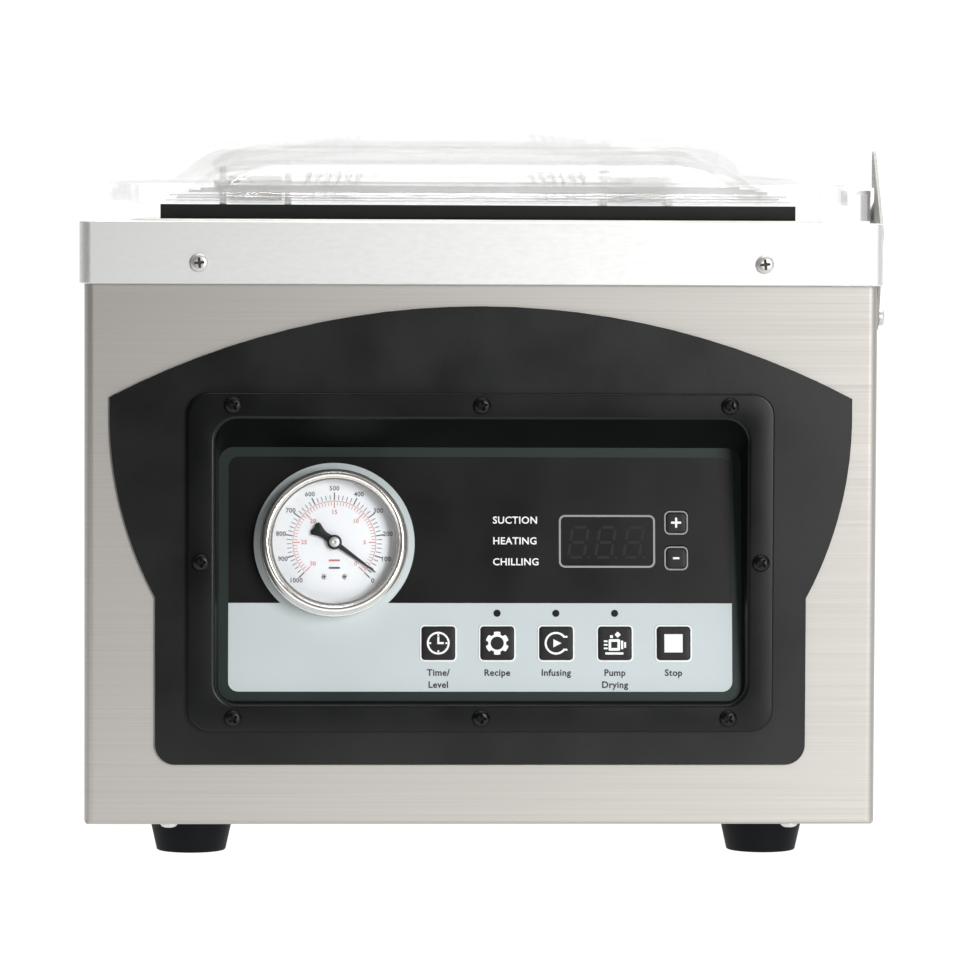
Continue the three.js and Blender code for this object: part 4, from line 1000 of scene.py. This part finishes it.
def add_counter_strip():
    """The soft strip under the lid, and the films that stand for its banded reflection in the sheet."""
    low, high = cad("counter_strip")
    corners = [(low.y, high.z), (low.y, low.z), (high.y, low.z), (high.y, high.z)]
    section = fillet(corners, [0, 1.6, 1.6, 0.0], closed=True)
    loops = [[(x, y, z) for y, z in section] for x in (low.x, high.x)]
    piece("counter_strip_pad", skin(loops), silicone_black, "black_silicone", "lid",
          replaces=["counter_strip"])
    for number, (bottom, top, short) in enumerate(PAINTED_REFLECTION_FILMS):
        film = block(low.x + short, low.y + 1, LID_LOW.z + bottom,
                     high.x - short, low.y + 2, LID_LOW.z + top, 0.1, 1)
        piece(f"counter_strip_painted_reflection_{number + 1}", film, painted_reflection_film, "black_silicone", "lid")


add_lid()
add_gasket()
add_counter_strip()
carry("lid_keeper", keeper_steel, 0.2)
carry("lid_latch", latch_steel, 0.15)
carry("latch_screw", zinc, 0.2)
carry("hinge_rod", bright_steel, 0.4)
for side in ("left", "right"):
    carry(f"hinge_arm_{side}", bright_steel, 0.5)
    carry(f"hinge_bracket_{side}", bright_steel, 0.4)
    carry(f"hinge_spring_{side}", spring_wire)


# ------------------------------------------------------------------ the chamber

def add_tub():
    """The drawn chamber: a rounded floor, upright walls and a flange under the tray."""
    low, high = cad("chamber_tub")
    cy = (low.y + high.y) / 2
    flange_x, flange_y = high.x, (high.y - low.y) / 2
    sheet, top = 1.5, high.z
    flange, corner = 12.0, 20.0
    wall_x, wall_y = flange_x - flange, flange_y - flange
    floor = low.z + sheet

    def bowl(offset, base, radius):
        loops = []
        for i in range(9):
            t = radians(90 * i / 8)
            inset = radius * (1 - sin(t)) - offset
            z = base + radius * (1 - cos(t))
            loops.append(level_loop(wall_x - inset, wall_y - inset, corner - inset, z, cy=cy))
        return loops

    inner, outer = bowl(0, floor, 9), bowl(sheet, low.z, 9 + sheet)
    brim = [level_loop(wall_x + out, wall_y + out, corner + out, z, cy=cy)
            for out, z in ((0, top), (flange, top), (flange, top - sheet), (sheet, top - sheet))]
    tub = skin([*inner, *brim, *outer[::-1]])
    cylinder_hole, port_hole, port_inset = 6.0, 8.0, 20
    holes = []
    for node in ("seal_cylinder_left", "seal_cylinder_right"):
        at = middle(node)
        place = Matrix.Translation((at.x, at.y, 0))
        holes.append(moved(plate([circle(0, 0, cylinder_hole, 32)], low.z - 5, floor + 5), place))
    port = Matrix.Translation((cad("valve_block")[0].x + port_inset, middle("valve_block").y, 0))
    holes.append(moved(plate([circle(0, 0, port_hole, 32)], low.z - 5, floor + 5), port))
    piece("chamber_shell", cut(tub, *holes), tub_steel, "chamber_steel", replaces=["chamber_tub"], sharp=40)


def add_filler_plate():
    low, high = cad("filler_plate")
    slab = plate([rectangle(low.x, low.y, high.x, high.y, 16, 10)], low.z, high.z, 1.6, 3)
    grip_radius, grip_x = 13, 85
    grips = [plate([circle(x, (low.y + high.y) / 2, grip_radius, 40)], low.z - 1, high.z + 1)
             for x in (-grip_x, grip_x)]
    piece("filler_board", cut(slab, *grips), board_white, "filler_board", replaces=["filler_plate"])


def add_seal_bar():
    carry("seal_bar", aluminium, 0.5)
    low, high = cad("seal_bar")
    cy = (low.y + high.y) / 2
    hug, ease, rise = 6.9, 4.2, 0.12
    tape = fillet([(cy - hug, high.z - 8), (cy - hug, high.z - 4.6), (cy - ease, high.z + rise),
                   (cy + ease, high.z + rise), (cy + hug, high.z - 4.6), (cy + hug, high.z - 8)],
                  1.0, 3)
    inner = [(cy + (y - cy) * 0.985, z - 0.15) for y, z in tape][::-1]
    loops = [[(x, y, z) for y, z in [*tape, *inner]] for x in (low.x + 8, high.x - 8)]
    piece("seal_bar_tape", skin(loops), tape_brown, "bar_aluminium", "sealer")


def add_bar_wire():
    """Two flat heating wires along the bar's top, held by a brass clamp at each end."""
    low, high = cad("seal_bar")
    cy = (low.y + high.y) / 2
    for side, y in (("front", cy - 2.2), ("rear", cy + 2.2)):
        wire = block(low.x + 12, y - 0.8, high.z + 0.13, high.x - 12, y + 0.8, high.z + 0.28, 0.05, 1)
        piece(f"heating_wire_{side}", wire, bright_steel, "bar_aluminium", "sealer")
    for side, x in (("left", low.x + 2.6), ("right", high.x - 2.6)):
        clamp = block(x - 3.2, cy - 5, high.z - 5, x + 3.2, cy + 5, high.z + 0.2, 0.15)
        piece(f"wire_clamp_{side}", clamp, brass, "bar_aluminium", "sealer")


def add_motor_ribs():
    """Cooling ribs along the motor's body."""
    low, high = cad("pump_motor")
    radius, reach, ribs, body_length = (high.x - low.x) / 2, 2.5, 28, 120
    centre = Vector(((low.x + high.x) / 2, 0, high.z - radius))
    parts = []
    for rib in range(ribs):
        bar = block(radius - 1.0, low.y + 8, -0.7, radius + reach, low.y + body_length - 8, 0.7, 0.3, 1)
        parts.append(moved(bar, Matrix.Rotation(2 * pi * rib / ribs, 4, "Y")))
    ribbed = moved(joined(*parts), Matrix.Translation((centre.x, 0, centre.z)))
    piece("motor_ribs", ribbed, enamel, "motor_paint")


def add_board_parts():
    """Relays, capacitors and a plug on the back of the control board."""
    high = cad("control_board")[1]
    back = (PANEL.inverted() @ Vector((0, high.y, high.z))).z
    for name, x, y, wide, tall, deep, material in (
            ("relay_left", -10, 14, 15, 19, 12, plastic_black),
            ("relay_right", 10, 14, 15, 19, 12, plastic_black),
            ("transformer", 38, 12, 26, 22, 16, paper_yellow),
            ("plug", 62, 14, 8, 24, 9, board_white)):
        part = block(x - wide / 2, y - tall / 2, back - deep, x + wide / 2, y + tall / 2, back - 0.1, 0.6)
        piece(f"board_{name}", part, material, "circuit_board", place=PANEL)
    for number, x in enumerate((-8, 4, 16)):
        can = lathe(fillet([(0, 0), (4, 0), (4, 12), (0, 12)], [0, 0.3, 0.8, 0], 3), 32)
        at = PANEL @ Matrix.Translation((x, -12, back - 12.1))
        piece(f"board_capacitor_{number + 1}", can, zinc, "circuit_board", place=at)


SOCKET_Z = 48.5  # the middle of the mains socket


def add_rear_fixings():
    """Cover screws, the inlet's pins and the bolts that hold the hinge arms to the lid."""
    low, high = cad("rear_cover")
    for row, z in enumerate((low.z + 6, (low.z + high.z) / 2, high.z - 24)):
        for side, x in (("left", low.x + 6), ("right", high.x - 6)):
            place = facing((x, high.y, z), (0, 1, 0), 15 + 40 * row)
            screw(f"cover_screw_{side}_{row + 1}", 3.4, 1.8, PLATED, "screw_steel", place)
    socket_x, deep = middle("mains_inlet").x, cad("mains_inlet")[1].y
    for name, across, above in (("earth", 0, 3.5), ("left", -7, -1.5), ("right", 7, -1.5)):
        x, z = socket_x + across, SOCKET_Z + above
        pin = block(x - 1.0, deep - 16, z - 2, x + 1.0, deep - 2.5, z + 2, 0.4)
        piece(f"inlet_pin_{name}", pin, brass, "inlet_plastic")
    for side in ("left", "right"):
        low, high = cad(f"hinge_arm_{side}")
        for end, x in (("outer", low.x + 6), ("inner", high.x - 6)):
            place = facing((x, low.y + 7, RIM_TOP + 4.5), (0, 0, 1), 30)
            screw(f"arm_bolt_{side}_{end}", 3.0, 1.6, PLATED, "screw_steel", place, "lid")


add_tub()
add_filler_plate()
add_seal_bar()
add_bar_wire()
add_motor_ribs()
add_board_parts()
add_rear_fixings()
for node, material, bevel in (
        ("seal_cylinder_left", bright_steel, 0.5), ("seal_cylinder_right", bright_steel, 0.5),
        ("valve_block", brass, 0.8), ("vacuum_pump", iron, 2.5), ("pump_motor", enamel, 1.2),
        ("motor_fan", plastic_black, 0.3), ("seal_transformer", paper_yellow, 0.8),
        ("suction_hose", hose_black, 0.0), ("control_board", board_green, 0.2),
        ("mains_inlet", plastic_black, 0.4), ("power_switch", rocker_black, 0.5)):
    carry(node, material, bevel)


# ------------------------------------------------------------------ studio

def add_light(name, place, target, width, height, power):
    light = bpy.data.lights.new(name, "AREA")
    light.shape = "RECTANGLE"
    light.size, light.size_y = width, height
    light.energy = power
    obj = linked(name, light)
    obj.location = place
    obj.rotation_euler = (Vector(target) - Vector(place)).to_track_quat("-Z", "Y").to_euler()


def add_studio():
    """A glowing white table, a softbox at the right front and one overhead.

    The room is dark except for a white backdrop behind and above the machine.
    """
    table_material = Surface("glowing table", (0.15, 0.15, 0.15), 0.9, Emission_Color=(1, 1, 1, 1),
                             Emission_Strength=1.0, Specular_IOR_Level=0.0).material
    mesh = bpy.data.meshes.new("table")
    wide, front, far = 60.0, -0.6, 60.0
    corners = [(-wide, front, 0), (wide, front, 0), (wide, far, 0), (-wide, far, 0)]
    mesh.from_pydata(corners, [], [(0, 1, 2, 3)])
    mesh.materials.append(table_material)
    table = linked("table", mesh)

    add_light("key light", (0.72, -1.55, 0.42), (0, -0.24, 0.14), 0.5, 0.9, 19)
    add_light("top light", (0.2, 0.2, 2.2), (0, 0.1, 0.2), 2.0, 2.0, 35)

    world = bpy.data.worlds.new("studio")
    bpy.context.scene.world = world
    world.use_nodes = True
    tree = world.node_tree
    background = tree.nodes["Background"]
    put(background, Color=(1, 1, 1, 1))
    coordinates = tree.nodes.new("ShaderNodeTexCoord")
    behind = tree.nodes.new("ShaderNodeVectorMath")
    behind.operation = "DOT_PRODUCT"
    behind.inputs[1].default_value = (0.0, 0.8, 0.6)
    ramp = tree.nodes.new("ShaderNodeMapRange")
    put(ramp, From_Min=0.0, From_Max=0.6, To_Min=0.06, To_Max=1.05)
    tree.links.new(coordinates.outputs["Generated"], behind.inputs[0])
    tree.links.new(behind.outputs["Value"], ramp.inputs["Value"])
    tree.links.new(ramp.outputs["Result"], background.inputs["Strength"])
    bpy.context.scene.view_settings.view_transform = "Standard"


def add_camera():
    """Level with the lid, 2.2 m in front and a little to the left, turned towards the machine."""
    camera = bpy.data.cameras.new("camera")
    camera.lens = 197.6
    camera.sensor_width = 36.0
    camera.clip_end = 100.0
    obj = linked("camera", camera)
    obj.location = (-0.09, FRONT_Y * MM - 2.2, 0.2715)
    tip, turn, roll = 2.96, 2.357, 0.238
    obj.rotation_euler = (Matrix.Rotation(radians(-turn), 3, "Z")
                          @ Matrix.Rotation(radians(90 - tip), 3, "X")
                          @ Matrix.Rotation(radians(roll), 3, "Z")).to_euler()
    bpy.context.scene.camera = obj


add_studio()
add_camera()
